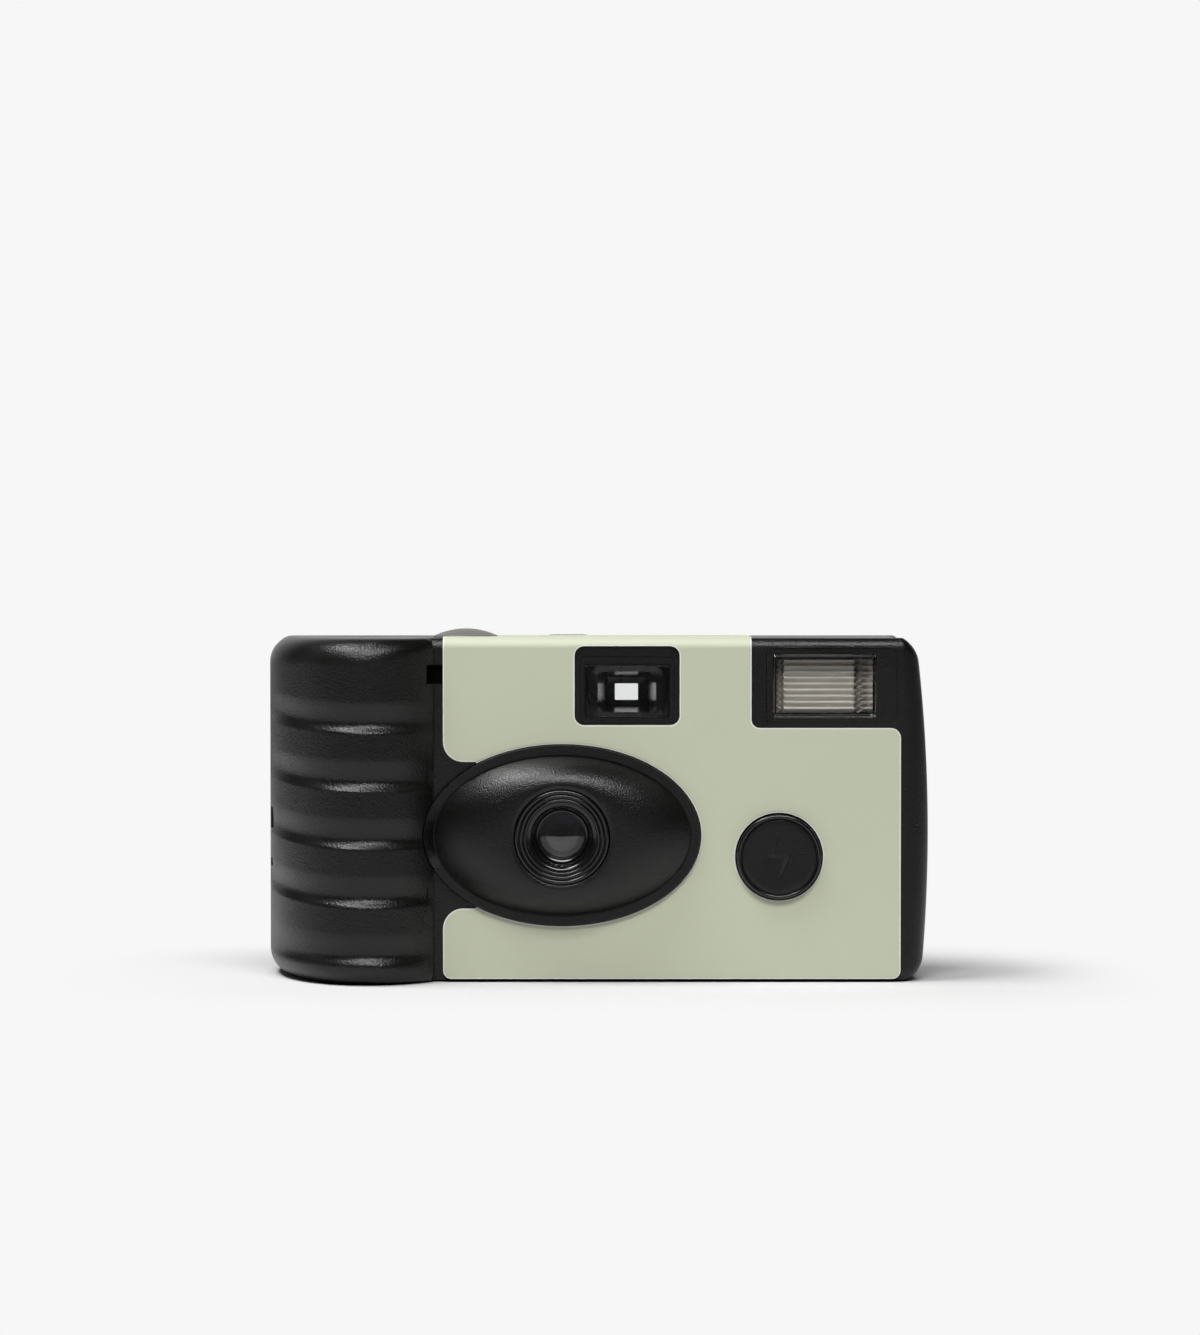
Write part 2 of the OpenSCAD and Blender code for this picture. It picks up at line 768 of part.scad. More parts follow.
module rear_cover() {
    slot_gap = 0.5;
    slot_half_w = sqrt(wheel_r * wheel_r - pow(inner_rear_y - cart_y, 2)) + 1.5;
    slot_x = [cart_x - slot_half_w, cart_x + slot_half_w];
    slot_z = [wheel_z - slot_gap, wheel_top_z + slot_gap];
    relief_d = 0.6;
    relief = 1;
    eye_ledge = 0.5;
    latch_half_span = 30;
    eye_x = [finder_cx - eyepiece_w / 2 - seat_gap, finder_cx + eyepiece_w / 2 + seat_gap];
    eye_z = [finder_cz - eyepiece_h / 2 - seat_gap, finder_cz + eyepiece_h / 2 + seat_gap];
    color(black)
        difference() {
            cover_skin(rear_outline, plain_levels);
            cover_cavity(rear_outline, -past);
            rear_window(slot_x[0], slot_x[1], slot_z[0], slot_z[1], 0.4, inner_rear_y - past, draft);
            rear_window(slot_x[0] - relief, slot_x[1] + relief, slot_z[0] - relief, slot_z[1] + relief, 1,
                        rear_y - relief_d, relief);
            rear_window(eye_x[0], eye_x[1], eye_z[0], eye_z[1], 1, inner_rear_y - past, draft);
            rear_window(eye_x[0] - eye_ledge, eye_x[1] + eye_ledge, eye_z[0] - eye_ledge, eye_z[1] + eye_ledge,
                        1 + eye_ledge, rear_y - relief_d, relief);
            rear_bore(lamp_x, lamp_z, lamp_r + seat_gap);
            counter_opening();
            for (x = [-latch_half_span, latch_half_span])
                base_latch(x);
        }
}

// The label as a bent sheet: up the front, round the top edge and back to the joint line
module label_sheet() {
    n = 8;
    corner_y = plane_y + edge_r;
    corner_z = body_h - edge_r;
    // flats that touch the round edge from outside
    function bend(r) = [for (i = [0 : n - 1]) let (a = 180 - 90 * (i + 0.5) / n, d = r / cos(45 / n))
        [corner_y + d * cos(a), corner_z + d * sin(a)]];
    inside = bend(edge_r);
    section = concat(
        [[label_y, 0]], bend(edge_r + label_t), [[seam_y, body_h + label_t]],
        [[seam_y, body_h]], [for (i = [1 : n]) inside[n - i]], [[plane_y, 0]]);
    translate([label_left_x, 0, 0])
        rotate([90, 0, 90])
            linear_extrude(right_x - label_right_margin - label_left_x)
                polygon(section);
}

// Outline of the label's front face: bare round the flash, the finder, the lens and the flash button
module label_face() {
    difference() {
        round_rect(label_left_x, right_x - label_right_margin, label_base_z, body_h + 2 * past, label_r);
        translate([flash_x - flash_margin, flash_z - flash_base])
            square([right_x, body_h]);
        round_rect(finder_x - finder_frame, finder_x + finder_w + finder_frame,
                   finder_z - finder_frame_base, finder_z + finder_h + finder_frame_top, label_r);
        translate([lens_x, lens_z])
            polygon(ellipse_points(surround_a + seat_gap, surround_b + seat_gap));
        translate([flash_button_x, flash_button_z])
            circle(r = flash_button_r + slide_gap);
        label_mouth();
    }
}

// The label is cut back with round corners where the lens surround meets the grip
module label_mouth() {
    low = lens_z - mouth_h / 2;
    high = lens_z + mouth_h / 2;
    right = lens_x - surround_a * 0.62;
    translate([label_left_x - past, low])
        square([right - label_left_x + past, mouth_h]);
    for (side = [[low, -1], [high, 1]])
        difference() {
            translate([label_left_x - past, side[1] < 0 ? low - mouth_r : high])
                square([mouth_r + past, mouth_r]);
            translate([label_left_x + mouth_r, side[0] + side[1] * mouth_r])
                circle(r = mouth_r);
        }
}

module front_label() {
    color(sage)
        difference() {
            intersection() {
                label_sheet();
                translate([0, seam_y + past, 0])
                    rotate([90, 0, 0])
                        linear_extrude(seam_y - label_y + 2 * past)
                            label_face();
            }
            translate([button_x, button_y, body_h - past])
                cylinder(h = 2 * past, r = button_r + slide_gap);
        }
}

module rear_label() {
    centre_x = lens_x + 13;
    color(sage)
        xz_plate(centre_x - rear_label_w / 2, centre_x + rear_label_w / 2,
                 lens_z - rear_label_h / 2, lens_z + rear_label_h / 2,
                 rear_y, rear_y + label_t, label_r);
}

// Rings of the surround: base, flange edge, then the dome up to the stepped ring
module lens_surround() {
    dome_steps = 6;
    bore_r = ring_r + seat_gap;
    top_r = ring_r + 1;
    flange_y = plane_y - surround_flange;
    foot_a = surround_a - surround_lip;
    foot_b = surround_b - surround_lip;
    sunk = 0.15;
    function swell(s) = 1 - pow(1 - s, 1.9);
    // on the grip the flange climbs to lie flush
    function flange_face(x) = x < step_x ? min(flange_y, fall_face(x) + sunk) : flange_y;
    profile = concat(
        [[surround_a, surround_b, pocket_y], [surround_a, surround_b, flange_y]],
        [for (i = [0 : dome_steps]) let (s = i / dome_steps)
            [blend(foot_a, top_r, s), blend(foot_b, top_r, s), flange_y - dome_h * swell(s)]]);
    color(deep_black)
        difference() {
            loft([
                for (i = [0 : len(profile) - 1])
                    let (p = profile[i])
                    [for (e = ellipse_points(p[0], p[1]))
                        let (x = lens_x + e.x)
                        [x, i == 1 ? flange_face(x) : p[2], lens_z + e.y]]
            ]);
            y_bar(lens_x, lens_z, flange_y - dome_h - past, pocket_y + past, bore_r);
        }
}

// Stepped ring turned round the lens axis: concentric steps outside, a bowl down to the lens
module lens_ring() {
    step = 0.35;
    bowl_r = ring_r - 2.6;
    lip_r = lens_r - seat_gap;
    h = tube_front_y - ring_front_y;
    profile = [
        [lens_view_r, lens_front_y - tube_front_y + seat_gap], [lip_r, lens_front_y - tube_front_y + seat_gap],
        [lip_r, 0], [ring_r, 0], [ring_r, -h + 2 * step], [ring_r - 0.9, -h + 2 * step],
        [ring_r - 0.9, -h + step], [ring_r - 1.6, -h + step], [ring_r - 1.6, -h], [bowl_r, -h],
        [lens_view_r, -h * 0.25]
    ];
    color(deep_black)
        translate([lens_x, tube_front_y, lens_z])
            rotate([-90, 0, 0])
                rotate_extrude()
                    polygon(profile);
}

module taking_lens() {
    dome_r = 9;
    color(clear)
        intersection() {
            y_bar(lens_x, lens_z, lens_front_y, lens_rear_y, lens_r);
            translate([lens_x, lens_front_y + dome_r, lens_z])
                sphere(r = dome_r);
        }
}

module aperture_disc() {
    color(deep_black)
        difference() {
            y_bar(lens_x, lens_z, lens_seat_y - stop_t, lens_seat_y, lens_r);
            y_bar(lens_x, lens_z, lens_seat_y - past, lens_seat_y + past, aperture_r);
        }
}

module lens_board() {
    post_x = [board_x[0] + board_post_inset, board_x[1] - board_post_inset];
    post_z = [board_z[0] + board_post_inset, board_z[1] - board_post_inset];
    color(black)
        difference() {
            union() {
                box(board_x, [board_front_y, board_rear_y], board_z);
                y_bar(lens_x, lens_z, tube_front_y, board_rear_y, tube_r);
                for (x = post_x)
                    for (z = post_z)
                        y_bar(x, z, board_rear_y, tunnel_front_y, board_post_r);
                y_bar(blade_pivot_x, blade_pivot_z, board_rear_y, tunnel_front_y, blade_pin_r);
            }
            y_bar(lens_x, lens_z, tube_front_y - past, lens_seat_y, lens_r + seat_gap);
            y_bar(lens_x, lens_z, tube_front_y - past, board_rear_y + past, aperture_r + 1);
        }
}

// A flat bar with round ends between two points of the X-Z plane
module flat_bar(from, to, w, y0, y1) {
    run = to - from;
    translate([from[0], y1, from[1]])
        rotate([90, 0, 0])
            rotate([0, 0, atan2(run[1], run[0])])
                linear_extrude(y1 - y0) {
                    translate([0, -w / 2])
                        square([norm(run), w]);
                    circle(d = w);
                    translate([norm(run), 0])
                        circle(d = w);
                }
}

module shutter_blade() {
    pivot = [blade_pivot_x, blade_pivot_z];
    y1 = blade_y + blade_t;
    color(deep_black)
        difference() {
            union() {
                flat_bar(pivot, [lens_x, lens_z], blade_arm_w, blade_y, y1);
                y_bar(lens_x, lens_z, blade_y, y1, blade_lobe_r);
                y_bar(pivot[0], pivot[1], blade_y, y1, blade_hub_r);
                flat_bar(pivot, [blade_tail_x, blade_top_z - blade_tail_w / 2], blade_tail_w, blade_y, y1);
            }
            y_bar(pivot[0], pivot[1], blade_y - past, y1 + past, blade_pin_r + run_gap);
        }
}

module shutter_return_spring() {
    wire = 0.18;
    color(steel)
        translate([blade_pivot_x, blade_y + blade_t + 0.2, blade_pivot_z])
            rotate([-90, 0, 0])
                coil(blade_pin_r + 0.5, wire, tunnel_front_y - blade_y - blade_t - 0.4, 4);
}

module drive_lever() {
    run = [drive_tip_x - drive_x, drive_tip_y - drive_y];
    color(warm_grey)
        translate([drive_x, drive_y, drive_z])
            difference() {
                union() {
                    cylinder(h = drive_t, r = drive_hub_r);
                    rotate([0, 0, atan2(run[1], run[0])])
                        translate([0, -drive_arm_w / 2, 0])
                            cube([norm(run) + 0.6, drive_arm_w, drive_t]);
                }
                translate([0, 0, -past])
                    cylinder(h = drive_t + 2 * past, r = drive_pin_r + run_gap);
            }
}

module drive_spring() {
    color(steel)
        translate([drive_x, drive_y, drive_z + drive_t + 0.2])
            coil(drive_pin_r + 0.6, 0.22, 2.6, 4);
}

module release_lever() {
    left = button_x - 1.2;
    hook_w = 1.2;
    hook_z = drive_z + drive_t + 0.4;
    y0 = button_y - lever_w / 2;
    y1 = button_y + lever_w / 2;
    color(warm_grey) {
        box([left, lever_right_x], [y0, y1], [lever_top_z - lever_t, lever_top_z]);
        box([lever_right_x - hook_w, lever_right_x], [y0, y1], [hook_z, lever_top_z]);
        y_bar(lever_pivot_x, lever_z, y0 - ear_gap - ear_t, y1 + ear_gap + ear_t, lever_pin_r);
    }
}

module shutter_button() {
    dome_r = 14;
    top_z = body_h + button_proud;
    color(warm_grey)
        translate([button_x, button_y, 0]) {
            intersection() {
                translate([0, 0, button_flange_z])
                    cylinder(h = top_z - button_flange_z, r = button_r);
                translate([0, 0, top_z - dome_r])
                    sphere(r = dome_r);
            }
            translate([0, 0, button_flange_z])
                cylinder(h = button_flange_t, r = button_flange_r);
            translate([0, 0, stem_z + stem_tip_l])
                cylinder(h = stem_l - stem_tip_l, r = stem_r);
            // a narrow tip presses the lever at one point
            translate([0, 0, stem_z])
                cylinder(h = stem_l, r = stem_tip_r);
        }
}

module button_spring() {
    color(steel)
        translate([button_x, button_y, shelf_top_z])
            coil(stem_r + 0.5, 0.2, button_flange_z - shelf_top_z, 3);
}

module thumbwheel() {
    tooth_d = 0.45;
    axle_l = 5;
    rim = [
        for (i = [0 : 2 * wheel_teeth - 1])
            let (a = 180 * i / wheel_teeth, r = i % 2 == 0 ? wheel_r : wheel_r - tooth_d)
            [r * cos(a), r * sin(a)]
    ];
    // a tooth points straight back, so that the wheel's reach is its full radius
    color(black)
        translate([cart_x, cart_y, 0]) {
            translate([0, 0, wheel_z])
                rotate([0, 0, 90])
                    linear_extrude(wheel_t)
                        polygon(rim);
            translate([0, 0, spool_top_z - axle_l])
                cylinder(h = wheel_z - spool_top_z + axle_l, r = axle_r);
        }
}

module wind_pawl() {
    tip = [cart_x + pawl_tip_x, cart_y - sqrt(pow(wheel_r + pawl_tip_gap, 2) - pow(pawl_tip_x, 2))];
    color(warm_grey)
        translate([pawl_x, pawl_y, pawl_z])
            difference() {
                union() {
                    cylinder(h = pawl_t, r = pawl_hub_r);
                    pawl_arm(tip - [pawl_x, pawl_y], pawl_t);
                }
                translate([0, 0, -past])
                    cylinder(h = pawl_t + 2 * past, r = pawl_pin_r + run_gap);
            }
}

module pawl_arm(run, t) {
    rotate([0, 0, atan2(run[1], run[0])])
        translate([0, -pawl_arm_w / 2, 0])
            cube([norm(run), pawl_arm_w, t]);
}

module cartridge_shell() {
    lip_l = 7;
    lip_gap = 0.3;
    lip_t = 0.5;
    lip_x = cart_x + 6;
    color(steel) {
        difference() {
            ring(cart_x, cart_y, cart_z0, cart_z1, cartridge_r, cartridge_r - cart_skin);
            // mouth of the light trap
            box([cart_x, cart_x + cartridge_r], [film_y - lip_gap - lip_t, film_y + film_t + lip_gap + lip_t],
                [cart_z0 - past, cart_z1 + past]);
        }
        for (y = [film_y - lip_gap - lip_t, film_y + film_t + lip_gap])
            box([cart_x + 1, lip_x + lip_l], [y, y + lip_t], [cart_z0 + cap_rim_h, cart_z1 - cap_rim_h]);
    }
}

module cartridge_caps() {
    rim_in = cartridge_r + 0.02;
    rim_out = cartridge_r + cap_rim;
    hole_r = spool_hub_r + spool_play;
    color(steel) {
        ring(cart_x, cart_y, cart_z0 - cap_t, cart_z0, rim_out, hole_r);
        ring(cart_x, cart_y, cart_z1, cart_z1 + cap_t, rim_out, hole_r);
        for (z = [cart_z0, cart_z1 - cap_rim_h])
            difference() {
                ring(cart_x, cart_y, z, z + cap_rim_h, rim_out, rim_in);
                box([cart_x, cart_x + rim_out], [film_y - 1, rim_out + cart_y], [z - past, z + cap_rim_h + past]);
            }
    }
}

module cartridge_spool() {
    key_depth = 5.4;
    hub_end = 2;
    color(black)
        translate([cart_x, cart_y, 0])
            difference() {
                union() {
                    translate([0, 0, cart_z0 + spool_play])
                        cylinder(h = cartridge_h - 2 * spool_play, r = spool_core_r);
                    translate([0, 0, cart_z0 - hub_end])
                        cylinder(h = spool_top_z - cart_z0 + hub_end, r = spool_hub_r);
                }
                translate([0, 0, spool_top_z - key_depth])
                    cylinder(h = key_depth + past, r = axle_r + seat_gap);
            }
}

module film_strip() {
    x0 = cart_x + 2;
    x1 = supply_x;
    count = floor((x1 - x0) / perforation_pitch) - 1;
    color([0.35, 0.25, 0.2])
        difference() {
            box([x0, x1], [film_y, film_y + film_t], [film_z0, film_z1]);
            for (i = [0 : count])
                for (z = [film_z0 + perforation_inset, film_z1 - perforation_inset])
                    translate([x0 + (i + 0.5) * perforation_pitch, film_y + film_t / 2, z])
                        cube([perforation_w, film_t + past, perforation_h], center = true);
        }
}

module film_roll() {
    color([0.35, 0.25, 0.2])
        ring(supply_x, supply_y, film_z0, film_z1, film_roll_r, spool_r + seat_gap);
}

module supply_spool() {
    flange_t = 0.6;
    color(black)
        translate([supply_x, supply_y, 0]) {
            translate([0, 0, film_z0 - flange_t])
                cylinder(h = film_w + 2 * flange_t, r = spool_r);
            translate([0, 0, chamber_floor_z])
                cylinder(h = supply_top_z - free_gap - chamber_floor_z, r = spool_pin_r);
            for (z = [film_z0 - flange_t - seat_gap, film_z1 + seat_gap])
                translate([0, 0, z])
                    cylinder(h = flange_t, r = film_roll_r - 1);
        }
}

module sprocket() {
    drum_r = sprocket_r - 0.9;
    tooth_w = 1.5;
    cam_r = 3;
    cam_t = 1.6;
    shaft_top_z = dial_z - 0.5;
    color(black)
        translate([sprocket_x, sprocket_y, 0]) {
            translate([0, 0, sprocket_z]) {
                cylinder(h = sprocket_h, r = drum_r);
                for (i = [0 : sprocket_teeth - 1])
                    rotate([0, 0, 360 * (i + 0.5) / sprocket_teeth])
                        translate([0, -tooth_w / 2, 0.3])
                            cube([sprocket_r, tooth_w, sprocket_h - 0.6]);
            }
            translate([0, 0, sprocket_z])
                cylinder(h = shaft_top_z - sprocket_z, r = shaft_r);
            translate([0, 0, deck_top_z + 0.3])
                cylinder(h = cam_t, r = cam_r);
            translate([0, 0, sprocket_z])
                cylinder(h = dial_z + dial_t - sprocket_z, r = finger_r);
        }
}

module counter_dial() {
    teeth = 28;
    tooth_d = 0.35;
    rim = [
        for (i = [0 : 2 * teeth - 1])
            let (a = 180 * i / teeth, r = i % 2 == 0 ? dial_r : dial_r - tooth_d)
            [r * cos(a), r * sin(a)]
    ];
    color("white")
        translate([dial_x, dial_y, dial_z])
            linear_extrude(dial_t)
                difference() {
                    polygon(rim);
                    circle(r = dial_pin_r + run_gap);
                }
}

module counter_window() {
    color(clear)
        translate([0, 0, inner_top_z])
            linear_extrude(wall + counter_bulge)
                round_rect(counter_x[0], counter_x[1], counter_y[0], counter_y[1], counter_r);
}

module viewfinder_frame() {
    color(black)
        difference() {
            box(finder_out_x, [finder_frame_y, finder_frame_rear_y], [deck_top_z, finder_top_z]);
            box([finder_x - finder_clear / 2, finder_x + finder_w],
                [finder_frame_y - past, finder_frame_rear_y + past], [finder_z, finder_z + finder_h]);
        }
}

module viewfinder_front_lens() {
    hollow_r = 16;
    hollow_d = 0.8;
    y1 = finder_frame_y - seat_gap;
    y0 = y1 - finder_lens_t;
    color(clear)
        difference() {
            box([finder_x + seat_gap, finder_x + finder_w - seat_gap], [y0, y1],
                [finder_z + seat_gap, finder_z + finder_h - seat_gap]);
            translate([finder_cx, y0 - hollow_r + hollow_d, finder_cz])
                sphere(r = hollow_r);
        }
}

module viewfinder_eyepiece() {
    color(clear)
        xz_plate(finder_cx - eyepiece_w / 2, finder_cx + eyepiece_w / 2,
                 finder_cz - eyepiece_h / 2, finder_cz + eyepiece_h / 2,
                 inner_rear_y - 0.6, rear_y - 0.3, 0.9);
}

module flash_window() {
    color(clear)
        xz_plate(flash_x + seat_gap, flash_x + flash_w - seat_gap, flash_z + seat_gap, flash_z + flash_h - seat_gap,
                 label_y, inner_front_y, 0.3);
}

// A trough that opens to the front, with the tube lying across its bottom
module flash_reflector() {
    y1 = reflector_y + reflector_d;
    color(steel)
        difference() {
            trough(reflector_wall, reflector_y, y1);
            trough(0, reflector_y - past, y1 - reflector_wall);
            x_bar(flash_tube_y, flash_cz, flash_x - 2 * past, flash_x + flash_w + 2 * past,
                  flash_tube_r + seat_gap);
        }
}

module trough(skin, y0, y1) {
    x0 = flash_x - 0.3 - skin;
    x1 = flash_x + flash_w + 0.3 + skin;
    half = flash_h / 2 + skin;
    back = reflector_back_h / 2 + skin;
    section = [[y0, -half], [y1, -back], [y1, back], [y0, half]];
    translate([x0, 0, flash_cz])
        rotate([90, 0, 90])
            linear_extrude(x1 - x0)
                polygon(section);
}

module flash_tube() {
    overhang = 1.4;
    color(clear)
        x_bar(flash_tube_y, flash_cz, flash_x - overhang, flash_x + flash_w + overhang, flash_tube_r);
}

module flash_board() {
    color([0.10, 0.35, 0.20])
        box(pcb_x, [pcb_front_y, pcb_rear_y], pcb_z);
}

module flash_capacitor() {
    color(deep_black)
        x_bar(capacitor_y, capacitor_z, capacitor_x, capacitor_x + capacitor_l, capacitor_r);
}

module flash_transformer() {
    w = 8;
    d = 4.2;
    h = 10;
    x0 = supply_x + supply_out_r + 1.85;
    color(brass)
        box([x0, x0 + w], [pcb_rear_y, pcb_rear_y + d], [pcb_z[1] - h - 2, pcb_z[1] - 2]);
}

module trigger_coil() {
    r = 2;
    l = 8;
    color(brass)
        translate([battery_x + 4.2, pcb_rear_y + r, pcb_z[1] - l - 14])
            cylinder(h = l, r = r);
}

module flash_button() {
    front = label_y - flash_button_proud;
    bevel = 0.5;
    color(deep_black)
        difference() {
            union() {
                translate([flash_button_x, front, flash_button_z])
                    rotate([-90, 0, 0])
                        rotate_extrude()
                            polygon([[0, 0], [flash_button_r - bevel, 0], [flash_button_r, bevel],
                                     [flash_button_r, flash_flange_y - front + flash_button_flange_t],
                                     [0, flash_flange_y - front + flash_button_flange_t]]);
                y_bar(flash_button_x, flash_button_z, flash_flange_y,
                      flash_flange_y + flash_button_flange_t, flash_button_flange_r);
                y_bar(flash_button_x, flash_button_z, flash_flange_y, flash_stem_y, flash_stem_r);
            }
            bolt_sign(front);
        }
}

// Sunk lightning sign on the flash button
module bolt_sign(front) {
    sink = 0.5;
    translate([flash_button_x, front + sink, flash_button_z])
        rotate([90, 0, 0])
            linear_extrude(sink + past)
                polygon([[0, 4.1], [-2.1, -0.4], [0.7, -0.4], [-0.25, -4.7], [2.2, 0.27], [-0.9, 0.55]]);
}

// Domed leaf on the board under the flash button
module charge_contact() {
    leaf_w = 3;
    half = 5;
    rise = flash_button_travel + 0.1;
    color(brass)
        translate([flash_button_x, pcb_front_y, flash_button_z - leaf_w / 2])
            linear_extrude(leaf_w)
                polygon([[-half, 0], [-2, -rise], [2, -rise], [half, 0], [half - 0.5, 0],
                         [1.9, -rise + 0.2], [-1.9, -rise + 0.2], [-half + 0.5, 0]]);
}

module sync_contact() {
    leaf_h = 2;
    leaf_t = 0.25;
    z0 = pcb_z[1] - leaf_h - 0.4;
    color(brass)
        box([blade_pivot_x + 10.4, pcb_x[0] + 2], [pcb_front_y - leaf_t, pcb_front_y], [z0, z0 + leaf_h]);
}

module ready_lamp() {
    color([0.9, 0.35, 0.15])
        y_bar(lamp_x, lamp_z, rear_y + 0.2 - lamp_l, rear_y + 0.2, lamp_r);
}

module battery() {
    color([0.25, 0.26, 0.28])
        translate([battery_x, battery_y, battery_z]) {
            cylinder(h = battery_l - nub_h, r = battery_r);
            cylinder(h = battery_l, r = nub_r);
        }
}

module battery_contact_positive() {
    z0 = battery_z + battery_l + seat_gap;
    leg_w = 3;
    leg_x = flash_x + flash_w + 1.9;
    color(steel) {
        box([leg_x, leg_x + leg_w], [pcb_rear_y, battery_y + 2], [z0, z0 + contact_t]);
        box([battery_x - 2, leg_x + leg_w], [battery_y - 2, battery_y + 2], [z0, z0 + contact_t]);
        box([leg_x, leg_x + leg_w], [pcb_rear_y, pcb_rear_y + contact_t], [pcb_z[1] - 6, z0 + contact_t]);
    }
}

module battery_contact_negative() {
    z1 = battery_z - seat_gap;
    x = [battery_x - contact_w / 2, battery_x + contact_w / 2];
    color(steel) {
        box(x, [pcb_rear_y, battery_y + 3], [z1 - contact_t, z1]);
        box(x, [pcb_rear_y, pcb_rear_y + contact_t], [z1 - contact_t, z1 + 8]);
    }
}

// Half ring that wraps the front of a film chamber
module chamber(x, y, z0, z1, r_out, r_in) {
    difference() {
        ring(x, y, z0, z1, r_out, r_in);
        box([x - r_out - past, x + r_out + past], [y, y + r_out + past], [z0 - past, z1 + past]);
    }
}

module chassis() {
    chamber_out = chamber_r + chamber_wall;
    gate_x0 = deck_left_x;
    color(black)
        difference() {
            union() {
                // cartridge chamber, its roof and the post of the pawl
                chamber(cart_x, cart_y, chamber_floor_z, roof_z + roof_t, chamber_out, chamber_r);
                translate([cart_x, cart_y, roof_z])
                    cylinder(h = roof_t, r = chamber_out);
                hull() {
                    translate([cart_x, cart_y - chamber_r, roof_z])
                        cylinder(h = roof_t, r = 4, $fn = 32);
                    translate([pawl_x, pawl_y, roof_z])
                        cylinder(h = roof_t, r = pawl_hub_r, $fn = 32);
                }
                translate([pawl_x, pawl_y, roof_z])
                    cylinder(h = pawl_z - roof_z + pawl_t, r = pawl_pin_r);
                // supply chamber with its floor and roof
                chamber(supply_x, supply_y, chamber_floor_z, supply_top_z, supply_out_r, supply_ring_r);
                for (z = [chamber_floor_z, supply_roof_z])
                    translate([supply_x, supply_y, z])
                        cylinder(h = supply_floor_t, r = supply_plate_r);
                // wall from the supply chamber to the film gate
                box([supply_x - supply_out_r, supply_x - supply_ring_r], [supply_y - past, gate_rear_y],
                    [film_z0 - 1, deck_top_z]);
                // bosses behind the flash board
                for (z = [pcb_z[0] + 5, pcb_z[1] - 5])
                    y_bar(supply_x, z, pcb_rear_y, supply_y - supply_ring_r, 1.5);
                // film gate, light tunnel and its front wall
                box([gate_x0, supply_x - supply_ring_r], [gate_front_y, gate_rear_y], [film_z0 - 1, deck_top_z]);
                tunnel(tunnel_wall, 0);
                box(board_x, [tunnel_front_y, tunnel_front_y + tunnel_wall], [board_z[0], deck_top_z]);
                // deck with the posts of the levers and the counter
                box([deck_left_x, deck_right_x + supply_wall], [deck_front_y, gate_rear_y], [deck_z, deck_top_z]);
                translate([sprocket_x, sprocket_y, deck_z - 1])
                    cylinder(h = deck_t + 1, r = shaft_r + 1.2);
                post(dial_x, dial_y, 2.4, dial_z - 0.2);
                post(dial_x, dial_y, dial_pin_r, dial_z + dial_t + 0.5);
                post(drive_x, drive_y, drive_pin_r, drive_z + drive_t + 3);
                lever_stand();
            }
            // the roof stops short of the rear cover
            box([cart_x - chamber_out, cart_x + chamber_out], [inner_rear_y - free_gap, rear_y + past],
                [roof_z - past, roof_z + roof_t + past]);
            translate([cart_x, cart_y, roof_z - past])
                cylinder(h = roof_t + 2 * past, r = axle_r + run_gap);
            translate([supply_x, supply_y, 0])
                cylinder(h = body_h, r = spool_pin_r + run_gap);
            translate([sprocket_x, sprocket_y, deck_z - 1 - past])
                cylinder(h = deck_t + 1 + 2 * past, r = shaft_r + run_gap);
            // the sprocket reaches the film through the gate plate
            translate([sprocket_x, sprocket_y, sprocket_z - free_gap])
                cylinder(h = sprocket_h + 2 * free_gap, r = sprocket_r + free_gap);
            tunnel(0, past);
            y_bar(lens_x, lens_z, tunnel_front_y - past, tunnel_front_y + tunnel_wall + past, 4);
            y_bar(lever_pivot_x, lever_z, button_y - 6, button_y + 6, lever_pin_r + run_gap);
            translate([button_x, button_y, shelf_z - past])
                cylinder(h = shelf_t + 2 * past, r = stem_r + slide_gap);
        }
}

module post(x, y, r, z1) {
    translate([x, y, deck_z])
        cylinder(h = z1 - deck_z, r = r);
}

// Two ears for the release lever and the shelf under the button spring
module lever_stand() {
    y_in = lever_w / 2 + ear_gap;
    x = [lever_pivot_x - ear_w / 2, lever_pivot_x + ear_w / 2];
    for (y = [button_y - y_in - ear_t, button_y + y_in])
        box(x, [y, y + ear_t], [deck_z, shelf_top_z]);
    box([button_x - 3, x[1]], [button_y - y_in - ear_t, button_y + y_in + ear_t], [shelf_z, shelf_top_z]);
}

// Light tunnel from the lens to the gate, skin thick, run past both ends by over
module tunnel(skin, over) {
    near = [9, 8];
    y0 = tunnel_front_y + tunnel_wall;
    end = 0.1;
    hull() {
        box([lens_x - near[0] - skin, lens_x + near[0] + skin], [y0, y0 + end],
            [lens_z - near[1] - skin, lens_z + near[1] + skin]);
        box([lens_x - gate_w / 2 - skin, lens_x + gate_w / 2 + skin],
            [gate_front_y + gate_t / 2, gate_rear_y + over],
            [lens_z - gate_h / 2 - skin, lens_z + gate_h / 2 + skin]);
    }
}

front_cover();
rear_cover();
front_label();
rear_label();
lens_surround();
lens_ring();
taking_lens();
aperture_disc();
lens_board();
shutter_blade();
shutter_return_spring();
drive_lever();
drive_spring();
release_lever();
shutter_button();
button_spring();
thumbwheel();
wind_pawl();
cartridge_shell();
cartridge_caps();
cartridge_spool();
film_strip();
film_roll();
supply_spool();
sprocket();
counter_dial();
counter_window();
viewfinder_frame();
viewfinder_front_lens();
viewfinder_eyepiece();
flash_window();
flash_reflector();
flash_tube();
flash_board();
flash_capacitor();
flash_transformer();
trigger_coil();
flash_button();
charge_contact();
sync_contact();
ready_lamp();
battery();
battery_contact_positive();
battery_contact_negative();
chassis();
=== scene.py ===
import math

